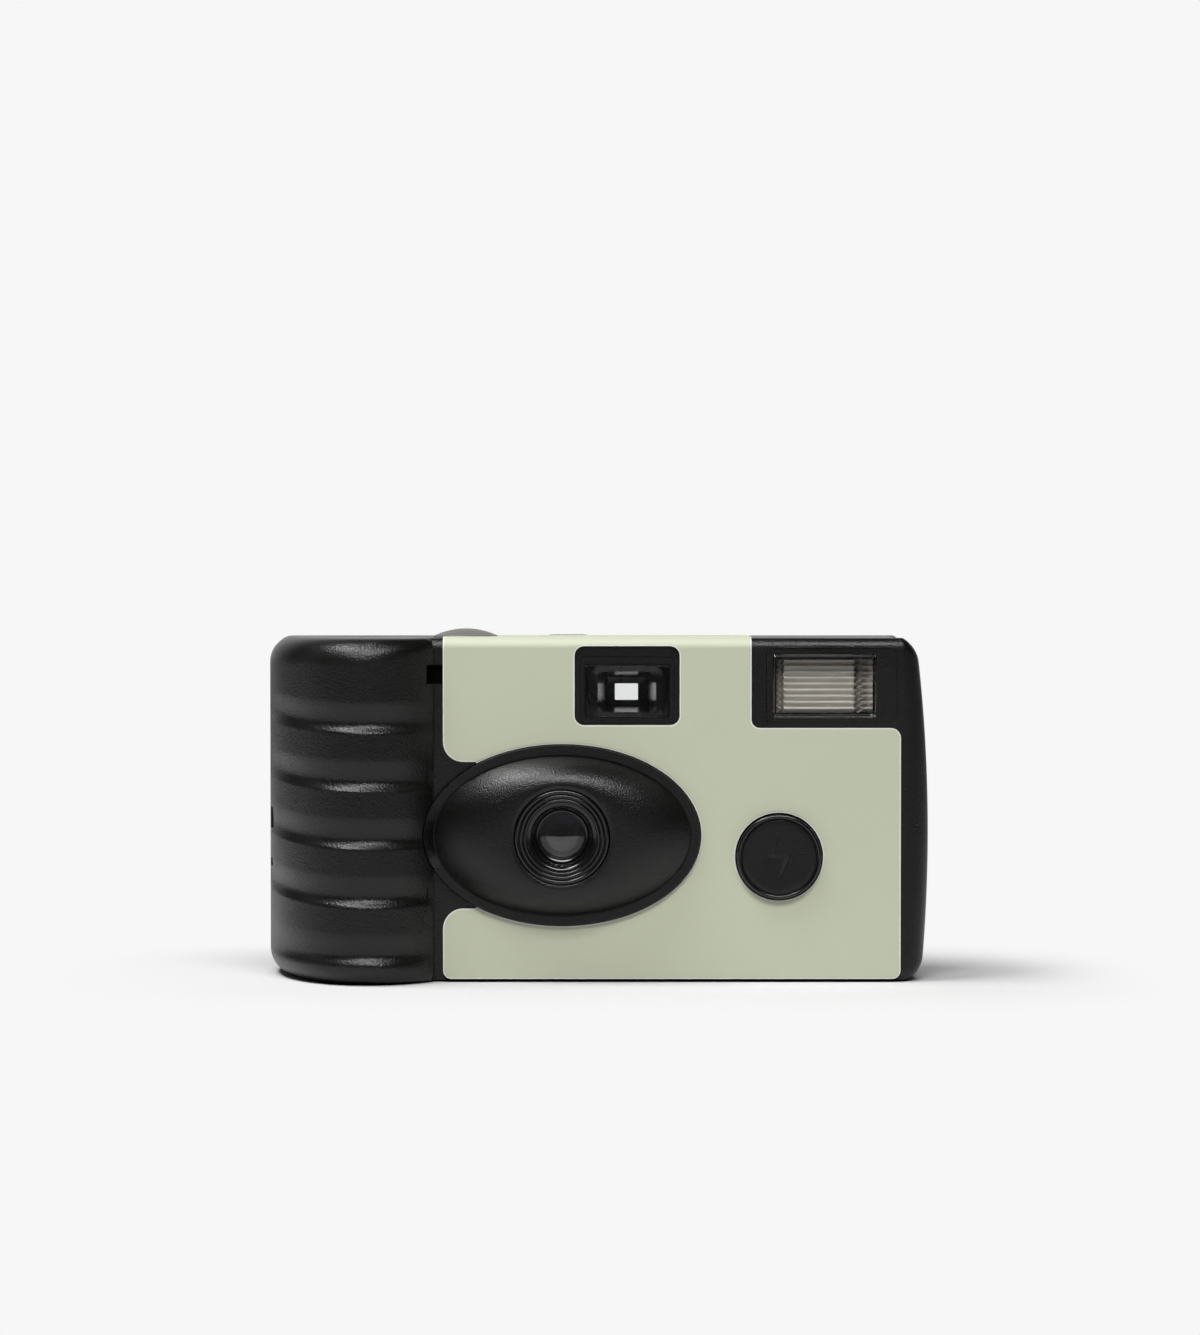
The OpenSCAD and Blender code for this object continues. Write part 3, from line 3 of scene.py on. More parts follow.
import bmesh
import bpy
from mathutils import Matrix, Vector


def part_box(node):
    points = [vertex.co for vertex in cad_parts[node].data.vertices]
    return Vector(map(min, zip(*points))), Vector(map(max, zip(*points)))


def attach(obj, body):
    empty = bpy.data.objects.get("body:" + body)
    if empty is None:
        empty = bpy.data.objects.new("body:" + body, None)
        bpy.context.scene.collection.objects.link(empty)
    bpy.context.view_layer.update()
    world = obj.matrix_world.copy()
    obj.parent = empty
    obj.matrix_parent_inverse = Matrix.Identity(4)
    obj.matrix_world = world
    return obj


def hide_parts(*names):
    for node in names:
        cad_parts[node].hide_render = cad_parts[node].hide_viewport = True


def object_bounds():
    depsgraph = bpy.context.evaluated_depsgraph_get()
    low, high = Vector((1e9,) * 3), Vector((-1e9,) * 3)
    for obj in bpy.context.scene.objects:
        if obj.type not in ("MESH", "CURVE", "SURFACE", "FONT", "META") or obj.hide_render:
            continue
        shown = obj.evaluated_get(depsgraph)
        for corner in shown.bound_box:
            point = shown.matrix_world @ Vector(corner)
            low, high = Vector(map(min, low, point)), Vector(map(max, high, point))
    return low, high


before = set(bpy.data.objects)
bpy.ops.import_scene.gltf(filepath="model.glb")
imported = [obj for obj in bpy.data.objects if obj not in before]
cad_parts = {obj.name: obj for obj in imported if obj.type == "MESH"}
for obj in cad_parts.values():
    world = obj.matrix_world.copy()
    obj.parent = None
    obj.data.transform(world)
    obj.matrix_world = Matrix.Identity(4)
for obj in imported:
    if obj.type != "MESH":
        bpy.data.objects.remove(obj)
cad_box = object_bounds()

# Chassis, finder deck and lens board: the inner frame of the camera, injection-moulded in matt
# black polystyrene. It snaps between the two covers and carries the film and the shutter.
# The same moulded finish, with other values, serves every plastic piece of the camera.
moulded = bpy.data.node_groups.new("moulded finish", "ShaderNodeTree")
for label, kind, way in (
    ("Colour", "NodeSocketColor", "INPUT"),
    ("Worn Colour", "NodeSocketColor", "INPUT"),
    ("Low Roughness", "NodeSocketFloat", "INPUT"),
    ("High Roughness", "NodeSocketFloat", "INPUT"),
    ("Grains per Metre", "NodeSocketFloat", "INPUT"),
    ("Smudges per Metre", "NodeSocketFloat", "INPUT"),
    ("Colour", "NodeSocketColor", "OUTPUT"),
    ("Roughness", "NodeSocketFloat", "OUTPUT"),
    ("Height", "NodeSocketFloat", "OUTPUT"),
):
    moulded.interface.new_socket(label, in_out=way, socket_type=kind)


def fill(made, values):
    """Sets the unlinked sockets of a shader node."""
    for socket, value in values.items():
        made.inputs[socket].default_value = value


def node(tree, kind, values=None, **settings):
    """A new shader node with its settings and the values of its sockets."""
    made = tree.nodes.new("ShaderNode" + kind)
    for setting, value in settings.items():
        setattr(made, setting, value)
    fill(made, values or {})
    return made


def join(tree, *pairs):
    """Links outputs of shader nodes to inputs."""
    for source, target in pairs:
        tree.links.new(source, target)


given = moulded.nodes.new("NodeGroupInput")
result = moulded.nodes.new("NodeGroupOutput")
place = node(moulded, "TexCoord")
grain = node(moulded, "TexNoise", {"Detail": 2.0})
smudge = node(moulded, "TexNoise", {"Detail": 4.0})
both = node(moulded, "Math", operation="MULTIPLY")
tone = node(moulded, "Mix", data_type="RGBA")
dull = node(moulded, "MapRange", {"From Min": 0.3, "From Max": 0.7})
join(
    moulded,
    (place.outputs["Object"], grain.inputs["Vector"]),
    (place.outputs["Object"], smudge.inputs["Vector"]),
    (given.outputs["Grains per Metre"], grain.inputs["Scale"]),
    (given.outputs["Smudges per Metre"], smudge.inputs["Scale"]),
    (grain.outputs["Fac"], both.inputs[0]),
    (smudge.outputs["Fac"], both.inputs[1]),
    (both.outputs[0], tone.inputs["Factor"]),
    (given.outputs["Colour"], tone.inputs[6]),
    (given.outputs["Worn Colour"], tone.inputs[7]),
    (smudge.outputs["Fac"], dull.inputs["Value"]),
    (given.outputs["Low Roughness"], dull.inputs["To Min"]),
    (given.outputs["High Roughness"], dull.inputs["To Max"]),
    (tone.outputs[2], result.inputs["Colour"]),
    (dull.outputs["Result"], result.inputs["Roughness"]),
    (grain.outputs["Fac"], result.inputs["Height"]),
)


def finish(name, colour, worn, roughness, grains, depth, smudges=70, strength=0.5, **sockets):
    """A material with the moulded finish; depth is the height of its grain in metres."""
    material = bpy.data.materials.new(name)
    material.use_nodes = True
    tree = material.node_tree
    shader = tree.nodes["Principled BSDF"]
    fill(shader, {socket.replace("_", " "): value for socket, value in sockets.items()})
    look = node(tree, "Group", {
        "Colour": (*colour, 1), "Worn Colour": (*worn, 1),
        "Low Roughness": roughness[0], "High Roughness": roughness[1],
        "Grains per Metre": grains, "Smudges per Metre": smudges,
    }, node_tree=moulded)
    bump = node(tree, "Bump", {"Strength": strength, "Distance": depth})
    join(
        tree,
        (look.outputs["Colour"], shader.inputs["Base Color"]),
        (look.outputs["Roughness"], shader.inputs["Roughness"]),
        (look.outputs["Height"], bump.inputs["Height"]),
        (bump.outputs["Normal"], shader.inputs["Normal"]),
    )
    return material


def dress(material, *names):
    """Gives carried-over solids their finish."""
    for name in names:
        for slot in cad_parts[name].material_slots:
            slot.material = material


inner_black = finish("inner black plastic", (0.004, 0.004, 0.004), (0.010, 0.010, 0.010),
                     (0.45, 0.62), 1800, 0.00002)
dress(inner_black, "chassis", "lens_board", "supply_spool", "sprocket", "cartridge_spool")

# Shutter mechanism: blackened steel blade, acetal levers in pale grey, and springs of bright wire.
# Each turns on a pin of the chassis; the blade hangs behind the lens board.
blade_black = finish("blackened steel", (0.015, 0.015, 0.017), (0.05, 0.05, 0.055),
                     (0.3, 0.5), 2500, 0.000008, Metallic=0.8)
lever_grey = finish("lever acetal", (0.42, 0.41, 0.38), (0.52, 0.51, 0.48),
                    (0.35, 0.5), 1500, 0.00001)
spring_wire = finish("spring wire", (0.55, 0.55, 0.56), (0.72, 0.72, 0.73),
                     (0.18, 0.32), 3000, 0.000006, Metallic=1.0)
dress(blade_black, "shutter_blade", "aperture_disc")
dress(lever_grey, "drive_lever", "release_lever", "wind_pawl")
dress(spring_wire, "shutter_return_spring", "drive_spring", "button_spring",
      "battery_contact_positive", "battery_contact_negative")

# Film: a cartridge of lacquered tinplate with pressed end caps, and the strip of brown-grey film
# that runs across the gate to the roll on the supply spool.
tinplate = finish("lacquered tinplate", (0.16, 0.17, 0.18), (0.32, 0.33, 0.34),
                  (0.22, 0.36), 900, 0.00001, Metallic=0.9)
film_base = finish("film base", (0.16, 0.10, 0.075), (0.22, 0.15, 0.11),
                   (0.12, 0.24), 1200, 0.000004)
dress(tinplate, "cartridge_shell", "cartridge_caps")
dress(film_base, "film_strip", "film_roll")

# Flash circuit: a green glass-fibre board with its capacitor in a shrink sleeve, copper-wound
# transformer and trigger coil, brass leaf contacts, and one round cell in a printed can.
board_green = finish("board laminate", (0.02, 0.12, 0.05), (0.05, 0.20, 0.10),
                     (0.3, 0.45), 2200, 0.00001)
sleeve = finish("shrink sleeve", (0.02, 0.02, 0.028), (0.05, 0.05, 0.065),
                (0.25, 0.4), 700, 0.00001)
copper = finish("copper winding", (0.45, 0.20, 0.09), (0.62, 0.32, 0.15),
                (0.25, 0.4), 4000, 0.00003, Metallic=1.0)
brass = finish("brass leaf", (0.60, 0.44, 0.18), (0.72, 0.56, 0.28),
               (0.2, 0.35), 2000, 0.000006, Metallic=1.0)
cell_can = finish("cell can", (0.05, 0.05, 0.06), (0.12, 0.12, 0.13),
                  (0.2, 0.35), 1200, 0.000006, Metallic=0.5)
dress(board_green, "flash_board")
dress(sleeve, "flash_capacitor")
dress(copper, "flash_transformer", "trigger_coil")
dress(brass, "charge_contact", "sync_contact")
dress(cell_can, "battery")

# Counter dial: a thin white disc under its window in the top, with a fine mould grain.
dial_white = finish("dial plastic", (0.72, 0.72, 0.69), (0.80, 0.80, 0.77),
                    (0.35, 0.5), 1500, 0.00001)
dress(dial_white, "counter_dial")

# Rear cover: the back half of the shell, moulded in black polystyrene with a spark-eroded grain.
# It has the eyepiece, the thumbwheel slot and the lamp hole, and snaps onto the front cover.
mm = 0.001
cover_black = finish("grained black plastic", (0.0016, 0.0015, 0.0013), (0.0046, 0.0043, 0.0038),
                     (0.31, 0.39), 2800, 0.00012, strength=0.8, Specular_IOR_Level=0.38)


def reach(name):
    """Lowest and highest corner of a solid, in millimetres."""
    low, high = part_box(name)
    return [c / mm for c in low], [c / mm for c in high]


def middle(name):
    """Middle of a solid, in millimetres."""
    return [0.5 * (a + b) for a, b in zip(*reach(name))]


def piece(name, points, faces, material=None, weld=False):
    """A mesh from points in millimetres, with its faces turned outwards."""
    mesh = bpy.data.meshes.new(name)
    mesh.from_pydata([[c * mm for c in p] for p in points], [], faces)
    work = bmesh.new()
    work.from_mesh(mesh)
    if weld:
        bmesh.ops.remove_doubles(work, verts=work.verts, dist=1e-6)
    bmesh.ops.recalc_face_normals(work, faces=work.faces)
    work.to_mesh(mesh)
    work.free()
    made = bpy.data.objects.new(name, mesh)
    bpy.context.scene.collection.objects.link(made)
    if material:
        mesh.materials.append(material)
    return made


def loft(name, rings, material=None):
    """A closed skin through rings of equal length, capped at both ends."""
    n = len(rings[0])
    points = [p for ring in rings for p in ring]
    faces = [
        (i * n + j, i * n + (j + 1) % n, (i + 1) * n + (j + 1) % n, (i + 1) * n + j)
        for i in range(len(rings) - 1)
        for j in range(n)
    ]
    faces += [list(range(n)), list(range(len(points) - n, len(points)))]
    return piece(name, points, faces, material)


def cut(body, *cutters, operation="DIFFERENCE"):
    """Takes the cutters out of a body, or joins them to it, and removes them."""
    for cutter in cutters:
        step = body.modifiers.new("cut", "BOOLEAN")
        step.operation = operation
        step.solver = "MANIFOLD"
        step.object = cutter
    graph = bpy.context.evaluated_depsgraph_get()
    mesh = bpy.data.meshes.new_from_object(body.evaluated_get(graph))
    own = body.data.materials[0] if body.data.materials else None
    body.modifiers.clear()
    body.data = mesh
    mesh.materials.clear()
    mesh.materials.append(own)
    for face in mesh.polygons:
        face.material_index = 0
    for cutter in cutters:
        bpy.data.objects.remove(cutter)
    return body


def smooth(body, crisp=32):
    """Smooth shading with crisp edges over an angle, and flat faces kept flat."""
    body.data.shade_smooth()
    body.data.set_sharp_from_angle(angle=math.radians(crisp))
    even = body.modifiers.new("even normals", "WEIGHTED_NORMAL")
    even.keep_sharp = True
    return body


def round_rect(x0, x1, z0, z1, r, grow=0, steps=8):
    """Corner-rounded rectangle as (x, z) points, grown outwards by grow."""
    r = max(r + grow, 0.05)
    x0, x1, z0, z1 = x0 - grow, x1 + grow, z0 - grow, z1 + grow
    corners = ((x1 - r, z1 - r, 0), (x0 + r, z1 - r, 90), (x0 + r, z0 + r, 180), (x1 - r, z0 + r, 270))
    return [
        (cx + r * math.cos(math.radians(start + 90 * i / steps)),
         cz + r * math.sin(math.radians(start + 90 * i / steps)))
        for cx, cz, start in corners
        for i in range(steps + 1)
    ]


def disc(x, z, r, grow=0, steps=96):
    """Circle as (x, z) points, grown outwards by grow."""
    return [
        (x + (r + grow) * math.cos(math.tau * i / steps), z + (r + grow) * math.sin(math.tau * i / steps))
        for i in range(steps)
    ]


def opening(shape, y_in, y_face, out, lip):
    """A cutter through a wall whose rim is rounded over by lip; out is the way out along Y."""
    lip_steps = 5
    arc = [math.radians(90 * i / lip_steps) for i in range(lip_steps + 1)]
    stations = [(y_in, 0)]
    stations += [(y_face - out * lip * (1 - math.sin(a)), lip * (1 - math.cos(a))) for a in arc]
    stations += [(y_face + out * 2, lip)]
    return loft("cutter", [[(x, y, z) for x, z in shape(grow)] for y, grow in stations])


left_x, seam_y, _ = reach("rear_cover")[0]
right_x = -left_x
_, rear_y, body_h = reach("rear_cover")[1]
front_y = reach("front_cover")[0][1]
wall = 1.6
side_r = 4.5
edge_r = 1.8
plan_r = 5.0
side_bow = 2.2
label_t = 0.25
label_y = reach("front_label")[0][1]
plane_y = label_y + label_t
inner_front_y = plane_y + wall
inner_rear_y = rear_y - wall
lens_x, _, lens_z = middle("lens_ring")
groove_count = 5
groove_first_z = 6.5
groove_pitch = 10.2
groove_h = 5.6
groove_depth = 1.0
groove_rise = 2.0
grip_w = 30.5
grip_fall_w = 11.75
grip_fall_d = 7.2
step_x = left_x + grip_w
crest_x = step_x - grip_fall_w
sweep_y = rear_y - plan_r
sweep_a = crest_x - left_x
sweep_b = sweep_y - front_y
least_r = 0.3
seam_angle = 180 + math.degrees(math.asin((sweep_y - seam_y) / sweep_b))


def edge_inset(h, r):
    """How far a rounded edge of radius r draws in at height h above the base."""
    return 0 if h >= r else r - math.sqrt(r * r - (r - h) ** 2)


def groove_share(u):
    """Share of a groove's depth at u, from -0.5 at its crisp lower edge to 0.5 at its soft upper one."""
    if u <= -0.5 or u >= 0.5:
        return 0
    if u < -0.2:
        return math.sin(math.radians(90 * (u + 0.5) / 0.3))
    t = (0.5 - u) / 0.7
    return t * t * (3 - 2 * t)


def cover_point(p, z, skin):
    """A cover's point at height z, on its outside (skin 0) or on its inside (skin as thick as the wall)."""
    x, y, nx, ny, r, weight, climb = p
    d = skin + edge_inset(min(z, body_h - z) - skin, max(r - skin, least_r))
    if not skin:
        d += weight * groove_depth * max(
            groove_share((z - groove_first_z - i * groove_pitch) / groove_h) for i in range(groove_count)
        )
    bow = side_bow * ((z - lens_z) / (body_h - lens_z)) ** 2 * max(nx, 0) if x > 0 else 0
    inside = min(max((min(z, body_h - z) - side_r) / groove_h, 0), 1)
    return (x - nx * d - bow, y - ny * d, z + (0 if skin else climb * inside))


def ellipse_run(cx, cy, a, b, start, end, steps, edge, weight, climb=lambda t: 0):
    """Outline points along an ellipse: place, normal, edge radius, groove weight and groove rise."""
    run = []
    for i in range(steps + 1):
        t = i / steps
        angle = math.radians(start + (end - start) * t)
        nx, ny = math.cos(angle) / a, math.sin(angle) / b
        size = math.hypot(nx, ny)
        run.append((cx + a * math.cos(angle), cy + b * math.sin(angle), nx / size, ny / size,
                    edge(t), weight(t), climb(t)))
    return run


def along_x(p):
    """At the joint line the covers are drawn in along X alone, so they meet in one plane."""
    return (p[0], p[1], math.copysign(1, p[2]), 0, *p[4:])


def cover(name, outline, seam_shift, material):
    """A hollow cover: its outer skin less its cavity, which runs past the joint line."""
    edge_steps, side_steps = 12, 180
    curved = [side_r * (1 - math.cos(math.radians(90 * i / edge_steps))) for i in range(edge_steps + 1)]
    straight = [side_r + (body_h - 2 * side_r) * i / side_steps for i in range(1, side_steps)]
    levels = curved + straight + [body_h - h for h in reversed(curved)]
    outline = [along_x(outline[0]), *outline[1:-1], along_x(outline[-1])]
    body = loft(name, [[cover_point(p, z, 0) for p in outline] for z in levels], material)
    moved = [
        (p[0], p[1] + (seam_shift if i in (0, len(outline) - 1) else 0), *p[2:])
        for i, p in enumerate(outline)
    ]
    inner = [wall + h * (side_r - wall) / side_r for h in curved]
    inner_levels = inner + [body_h - h for h in reversed(inner)]
    cavity = loft("cavity", [[cover_point(p, z, wall) for p in moved] for z in inner_levels])
    return cut(body, cavity)


def blend_out(t):
    """Edge radius that goes from the sides' to that of the flat faces."""
    return side_r + (edge_r - side_r) * t


def blend_in(t):
    return edge_r + (side_r - edge_r) * t


def side_edge(t):
    return side_r


def no_groove(t):
    return 0


rear_outline = (
    [(right_x, seam_y, 1, 0, side_r, 0, 0)]
    + ellipse_run(right_x - plan_r, rear_y - plan_r, plan_r, plan_r, 0, 90, 14, blend_out, no_groove)
    + ellipse_run(left_x + plan_r, rear_y - plan_r, plan_r, plan_r, 90, 180, 14, blend_in, no_groove)
    + ellipse_run(crest_x, sweep_y, sweep_a, sweep_b, 180, seam_angle, 8, side_edge, no_groove)[1:]
)
rear_cover = cover("rear_cover", rear_outline, -1, cover_black)
wheel_low, wheel_high = reach("thumbwheel")
wheel_x, wheel_y, _ = middle("thumbwheel")
wheel_r = 0.5 * (wheel_high[0] - wheel_low[0])
wheel_t = 4.2
wheel_z = wheel_high[2] - wheel_t
slot_half = math.sqrt(wheel_r ** 2 - (inner_rear_y - wheel_y) ** 2) + 1.5
eye_low, eye_high = reach("viewfinder_eyepiece")
lamp_x, _, lamp_z = middle("ready_lamp")
window_low, window_high = reach("counter_window")
window_r = 1.5
pane_gap = 0.1
wheel_gap = 0.5
lamp_bore_r = 1.6
inside_y = inner_rear_y - 1
base_slot_x, base_slot_half = 30, 4
base_slot_y = (seam_y + 2, seam_y + 5)
cut(
    rear_cover,
    opening(lambda g: round_rect(wheel_x - slot_half, wheel_x + slot_half, wheel_z - wheel_gap,
                                 wheel_high[2] + wheel_gap, 0.6, g), inside_y, rear_y, 1, lip=1.2),
    opening(lambda g: round_rect(eye_low[0] - pane_gap, eye_high[0] + pane_gap, eye_low[2] - pane_gap,
                                 eye_high[2] + pane_gap, 1, g), inside_y, rear_y, 1, lip=1.0),
    opening(lambda g: disc(lamp_x, lamp_z, lamp_bore_r, g, 48), inside_y, rear_y, 1, lip=0.4),
    loft("cutter", [
        [(x, y, z) for x, y in round_rect(window_low[0] - pane_gap, window_high[0] + pane_gap,
                                          window_low[1] - pane_gap, window_high[1] + pane_gap, window_r, g)]
        for z, g in ((body_h - wall - 1, 0), (body_h - 0.3, 0), (body_h, 0.3), (body_h + 1, 1.3))
    ]),
    *[loft("cutter", [
        [(x, y, z) for x, y in round_rect(cx - base_slot_half, cx + base_slot_half, *base_slot_y, 0.4, g)]
        for z, g in ((1, 0), (0, 0.15), (-1, 0.3))
    ]) for cx in (-base_slot_x, base_slot_x)],
)
smooth(rear_cover)
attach(rear_cover, "housing")
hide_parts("rear_cover")

# Front cover: the front half of the shell, the same black polystyrene. The grip at its left sweeps
# round in one curve and carries five moulded finger grooves; the rest is a flat bed for the label.
fall_steps = 36
groove_fade = 0.6
grip_fall = []
for i in range(1, fall_steps + 1):
    t = i / fall_steps
    lean = math.atan2(2 * t * grip_fall_d, grip_fall_w)
    fade = max(math.cos(math.radians(90 * t)), 0) ** groove_fade
    grip_fall.append((crest_x + grip_fall_w * t, front_y + grip_fall_d * t * t,
                      math.sin(lean), -math.cos(lean), blend_out(t), fade, 0))
front_outline = (
    ellipse_run(crest_x, sweep_y, sweep_a, sweep_b, seam_angle, 270, 56, side_edge,
                lambda t: t ** groove_fade, lambda t: groove_rise * (1 - t) ** 1.5)
    + grip_fall
    + [(step_x, plane_y, 0.3, -1, edge_r, 0, 0)]
    + ellipse_run(right_x - plan_r, plane_y + plan_r, plan_r, plan_r, 270, 360, 14, blend_in, no_groove)
    + [(right_x, seam_y, 1, 0, side_r, 0, 0)]
)
front_cover = cover("front_cover", front_outline, 1, cover_black)


def fall_face(x):
    """Where the grip's fall towards the label lies at x."""
    share = max(min((x - crest_x) / grip_fall_w, 1), 0)
    return front_y + grip_fall_d * share * share


surround_low, surround_high = reach("lens_surround")
surround_x = middle("lens_surround")[0]
surround_a = 0.5 * (surround_high[0] - surround_low[0])
surround_b = 0.5 * (surround_high[2] - surround_low[2])
pocket_y = surround_high[1]
pocket_wall = 0.9


def lens_oval(grow, steps=160):
    """The oval of the lens surround, grown outwards by grow."""
    return [
        (surround_x + (surround_a + grow) * math.cos(math.tau * i / steps),
         lens_z + (surround_b + grow) * math.sin(math.tau * i / steps))
        for i in range(steps)
    ]


finder_low, finder_high = reach("viewfinder_front_lens")
finder_x0, finder_x1 = finder_low[0] - pane_gap, finder_high[0] + pane_gap
finder_z0, finder_z1 = finder_low[2] - pane_gap, finder_high[2] + pane_gap
flash_low, flash_high = reach("flash_window")
flash_x0, flash_x1 = flash_low[0] - pane_gap, flash_high[0] + pane_gap
flash_z0, flash_z1 = flash_low[2] - pane_gap, flash_high[2] + pane_gap
button_x, button_y, _ = middle("shutter_button")
button_r = 5.7
flash_button_x, _, flash_button_z = middle("flash_button")
flash_button_r = 7.5
label_left_x = reach("front_label")[0][0]
label_right_x = reach("front_label")[1][0]
finder_frame_x = 1.8
finder_frame_low = 1.2
finder_frame_top = 3.4
latch_z0, latch_z1 = body_h - 8.1, body_h - 4.7
latch_d = 1.0
latch_shallow = 0.25
latch_w = 2.8
latch_ramp = 0.7
notch_l = 3
notch_d = 1.6
surround_gap = 0.14
lens_hole_r = 8.65
button_gap = 0.25
button_lip = 0.2
inside_y = inner_front_y + 1
finder_terraces = ((1, 0.08), (0.62, 0.10), (0.60, 0.43), (0.40, 0.47), (0.38, 0.93), (0.05, 0.99), (-2, 1.0))
flash_bed_x = (flash_x0 - 1.1, flash_x1 + 3.6)
flash_bed_z = (flash_z0 - 1.1, flash_z1 + 0.9)


def prism(points, y0, y1, name="cutter", material=None):
    """A straight block from y0 to y1 with an outline of (x, z) points."""
    return loft(name, [[(x, y, z) for x, z in points] for y in (y0, y1)], material)


pocket_floor = prism([(min(x, step_x - pocket_wall), z) for x, z in lens_oval(pocket_wall)],
                     front_y + grip_fall_d - pocket_wall, pocket_y + pocket_wall)
cut(front_cover, pocket_floor, operation="UNION")
cut(
    front_cover,
    prism(lens_oval(surround_gap), front_y - 1, pocket_y),
    prism(disc(lens_x, lens_z, lens_hole_r), front_y, inside_y),
    opening(lambda g: round_rect(finder_x0, finder_x1, finder_z0, finder_z1, 0.5, g),
            inside_y, plane_y, -1, lip=0.05),
    loft("cutter", [
        [(x, plane_y + d, z)
         for x, z in round_rect(finder_x0 - finder_frame_x * s, finder_x1 + finder_frame_x * s,
                                finder_z0 - finder_frame_low * s, finder_z1 + finder_frame_top * s,
                                0.5 + 1.1 * s)]
        for d, s in finder_terraces
    ]),
    opening(lambda g: round_rect(flash_x0, flash_x1, flash_z0, flash_z1, 0.4, g),
            inside_y, plane_y, -1, lip=0.2),
    loft("cutter", [
        [(x, y, z) for x, z in round_rect(*flash_bed_x, *flash_bed_z, 0.9, g)]
        for y, g in ((plane_y + 0.16, 0), (plane_y, 0.1), (plane_y - 1, 0.1))
    ]),
    opening(lambda g: disc(flash_button_x, flash_button_z, flash_button_r + button_gap, g),
            inside_y, plane_y, -1, button_lip),
    loft("cutter", [
        [(x, y, z) for x, y in disc(button_x, button_y, button_r + button_gap, g)]
        for z, g in ((body_h - wall - 1, 0), (body_h - button_lip, 0),
                     (body_h, button_lip), (body_h + 1, button_lip))
    ]),
    loft("cutter", [
        [(x, y, z) for y, z in ((plane_y - 3, latch_z0), (plane_y + d, latch_z0),
                                (plane_y + d, latch_z1), (plane_y - 3, latch_z1))]
        for x, d in ((label_left_x - latch_w, latch_shallow),
                     (label_left_x - latch_w + latch_ramp, latch_d), (label_left_x, latch_d))
    ]),
    *[loft("cutter", [
        [(x, y, z) for x, y in ((left_x - 1, seam_y - notch_l), (left_x - 1, seam_y + 1),
                                (left_x + notch_d, seam_y + 1), (left_x + notch_d, seam_y - notch_l))]
        for z in heights
    ]) for heights in ((lens_z + 0.4, lens_z + 4.2), (lens_z - 6.4, lens_z - 5))],
)
smooth(front_cover)
# The floor and walls of the blind latch slot get a near-black, barely reflecting material. This is painted
# shade for the shadow inside the recess, not a different plastic.
slot_painted_shade = finish("latch slot painted shade", (0.0006, 0.0006, 0.0006), (0.0012, 0.0012, 0.0011),
                   (0.75, 0.9), 2800, 0.00004, Specular_IOR_Level=0.06)
front_cover.data.materials.append(slot_painted_shade)
for face in front_cover.data.polygons:
    x, y, z = (c / mm for c in face.center)
    in_slot = label_left_x - latch_w < x < label_left_x and latch_z0 < z < latch_z1
    if in_slot and plane_y < y < plane_y + latch_d + 0.05:
        face.material_index = 1
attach(front_cover, "housing")
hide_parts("front_cover")

# Lens surround: a separate satin-black moulding, an oval dome on a flat flange that sits in its pocket
# in the front cover. Where it runs onto the grip the flange climbs to lie flush.
surround_satin = finish("satin black plastic", (0.0016, 0.0015, 0.0014), (0.0046, 0.0043, 0.0039),
                        (0.28, 0.35), 3600, 0.00010, strength=0.8, Specular_IOR_Level=0.38)
flange_y = plane_y - 1.1
flange_lip = 1.9
dome_h = 4.9
dome_top_r = 9.0
dome_bore_r = 8.5


def dome_ring(s, steps=160):
    """One ring of the dome, from its foot at s = 0 to the round edge of the bore at s = 1."""
    a = (surround_a - flange_lip) + (dome_top_r - surround_a + flange_lip) * s
    b = (surround_b - flange_lip) + (dome_top_r - surround_b + flange_lip) * s
    y = flange_y - dome_h * (1 - (1 - s) ** 2.0)
    return [(surround_x + (lens_x - surround_x) * s + a * math.cos(math.tau * i / steps), y,
             lens_z + b * math.sin(math.tau * i / steps)) for i in range(steps)]


def flange_ring(grow, y_face, sunk):
    """One ring of the flange, which follows the grip's fall from sunk below its face."""
    ring = []
    for x, z in lens_oval(grow):
        y = y_face
        if x < step_x:
            y = min(y, fall_face(x) + sunk)
        ring.append((x, y, z))
    return ring


foot_gap = 0.25
foot_sink = 0.3
dome_steps = 40
foot = dome_ring(0)
dome_rings = [
    [(x, pocket_y, z) for x, z in lens_oval(0)],
    flange_ring(0, flange_y + 0.15, 0.25),
    flange_ring(-0.12, flange_y, 0.05),
    [(x, flange_y, z) for x, z in lens_oval(foot_gap - flange_lip)],
    [(x, flange_y + foot_sink, z) for x, z in lens_oval(foot_gap * 0.8 - flange_lip)],
    [(x, y + foot_sink, z) for x, y, z in foot],
]
dome_rings += [dome_ring(i / dome_steps) for i in range(dome_steps + 1)]
dome_rings.append([(x, flange_y - dome_h + 0.2, z) for x, z in disc(lens_x, lens_z, dome_bore_r, 0, 160)])
lens_surround = loft("lens_surround", dome_rings, surround_satin)
cut(lens_surround, prism(disc(lens_x, lens_z, dome_bore_r, 0, 160), front_y - 3, pocket_y + 1))
smooth(lens_surround, 40)
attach(lens_surround, "housing")
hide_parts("lens_surround")

# Lens ring: the turned-looking black ring that clamps the lens. Three fine ridges step down to
# a polished bowl; it is pressed into the tube of the lens board.
ring_gloss = finish("polished black plastic", (0.0025, 0.0025, 0.0025), (0.005, 0.005, 0.005),
                    (0.16, 0.24), 3000, 0.000006)


def turned(name, profile, centre, along, material, steps=128, closed=True):
    """A turned piece from (radius, distance) points; along is 'y' or 'z', centre the start of the axis."""
    points, faces = [], []
    n = len(profile)
    for i in range(steps):
        c, s = math.cos(math.tau * i / steps), math.sin(math.tau * i / steps)
        for r, d in profile:
            offset = (r * c, d, r * s) if along == "y" else (r * c, r * s, d)
            points.append([centre[k] + offset[k] for k in range(3)])
    for i in range(steps):
        k = (i + 1) % steps
        for j in range(n if closed else n - 1):
            m = (j + 1) % n
            faces.append((i * n + j, i * n + m, k * n + m, k * n + j))
    return piece(name, points, faces, material, weld=True)


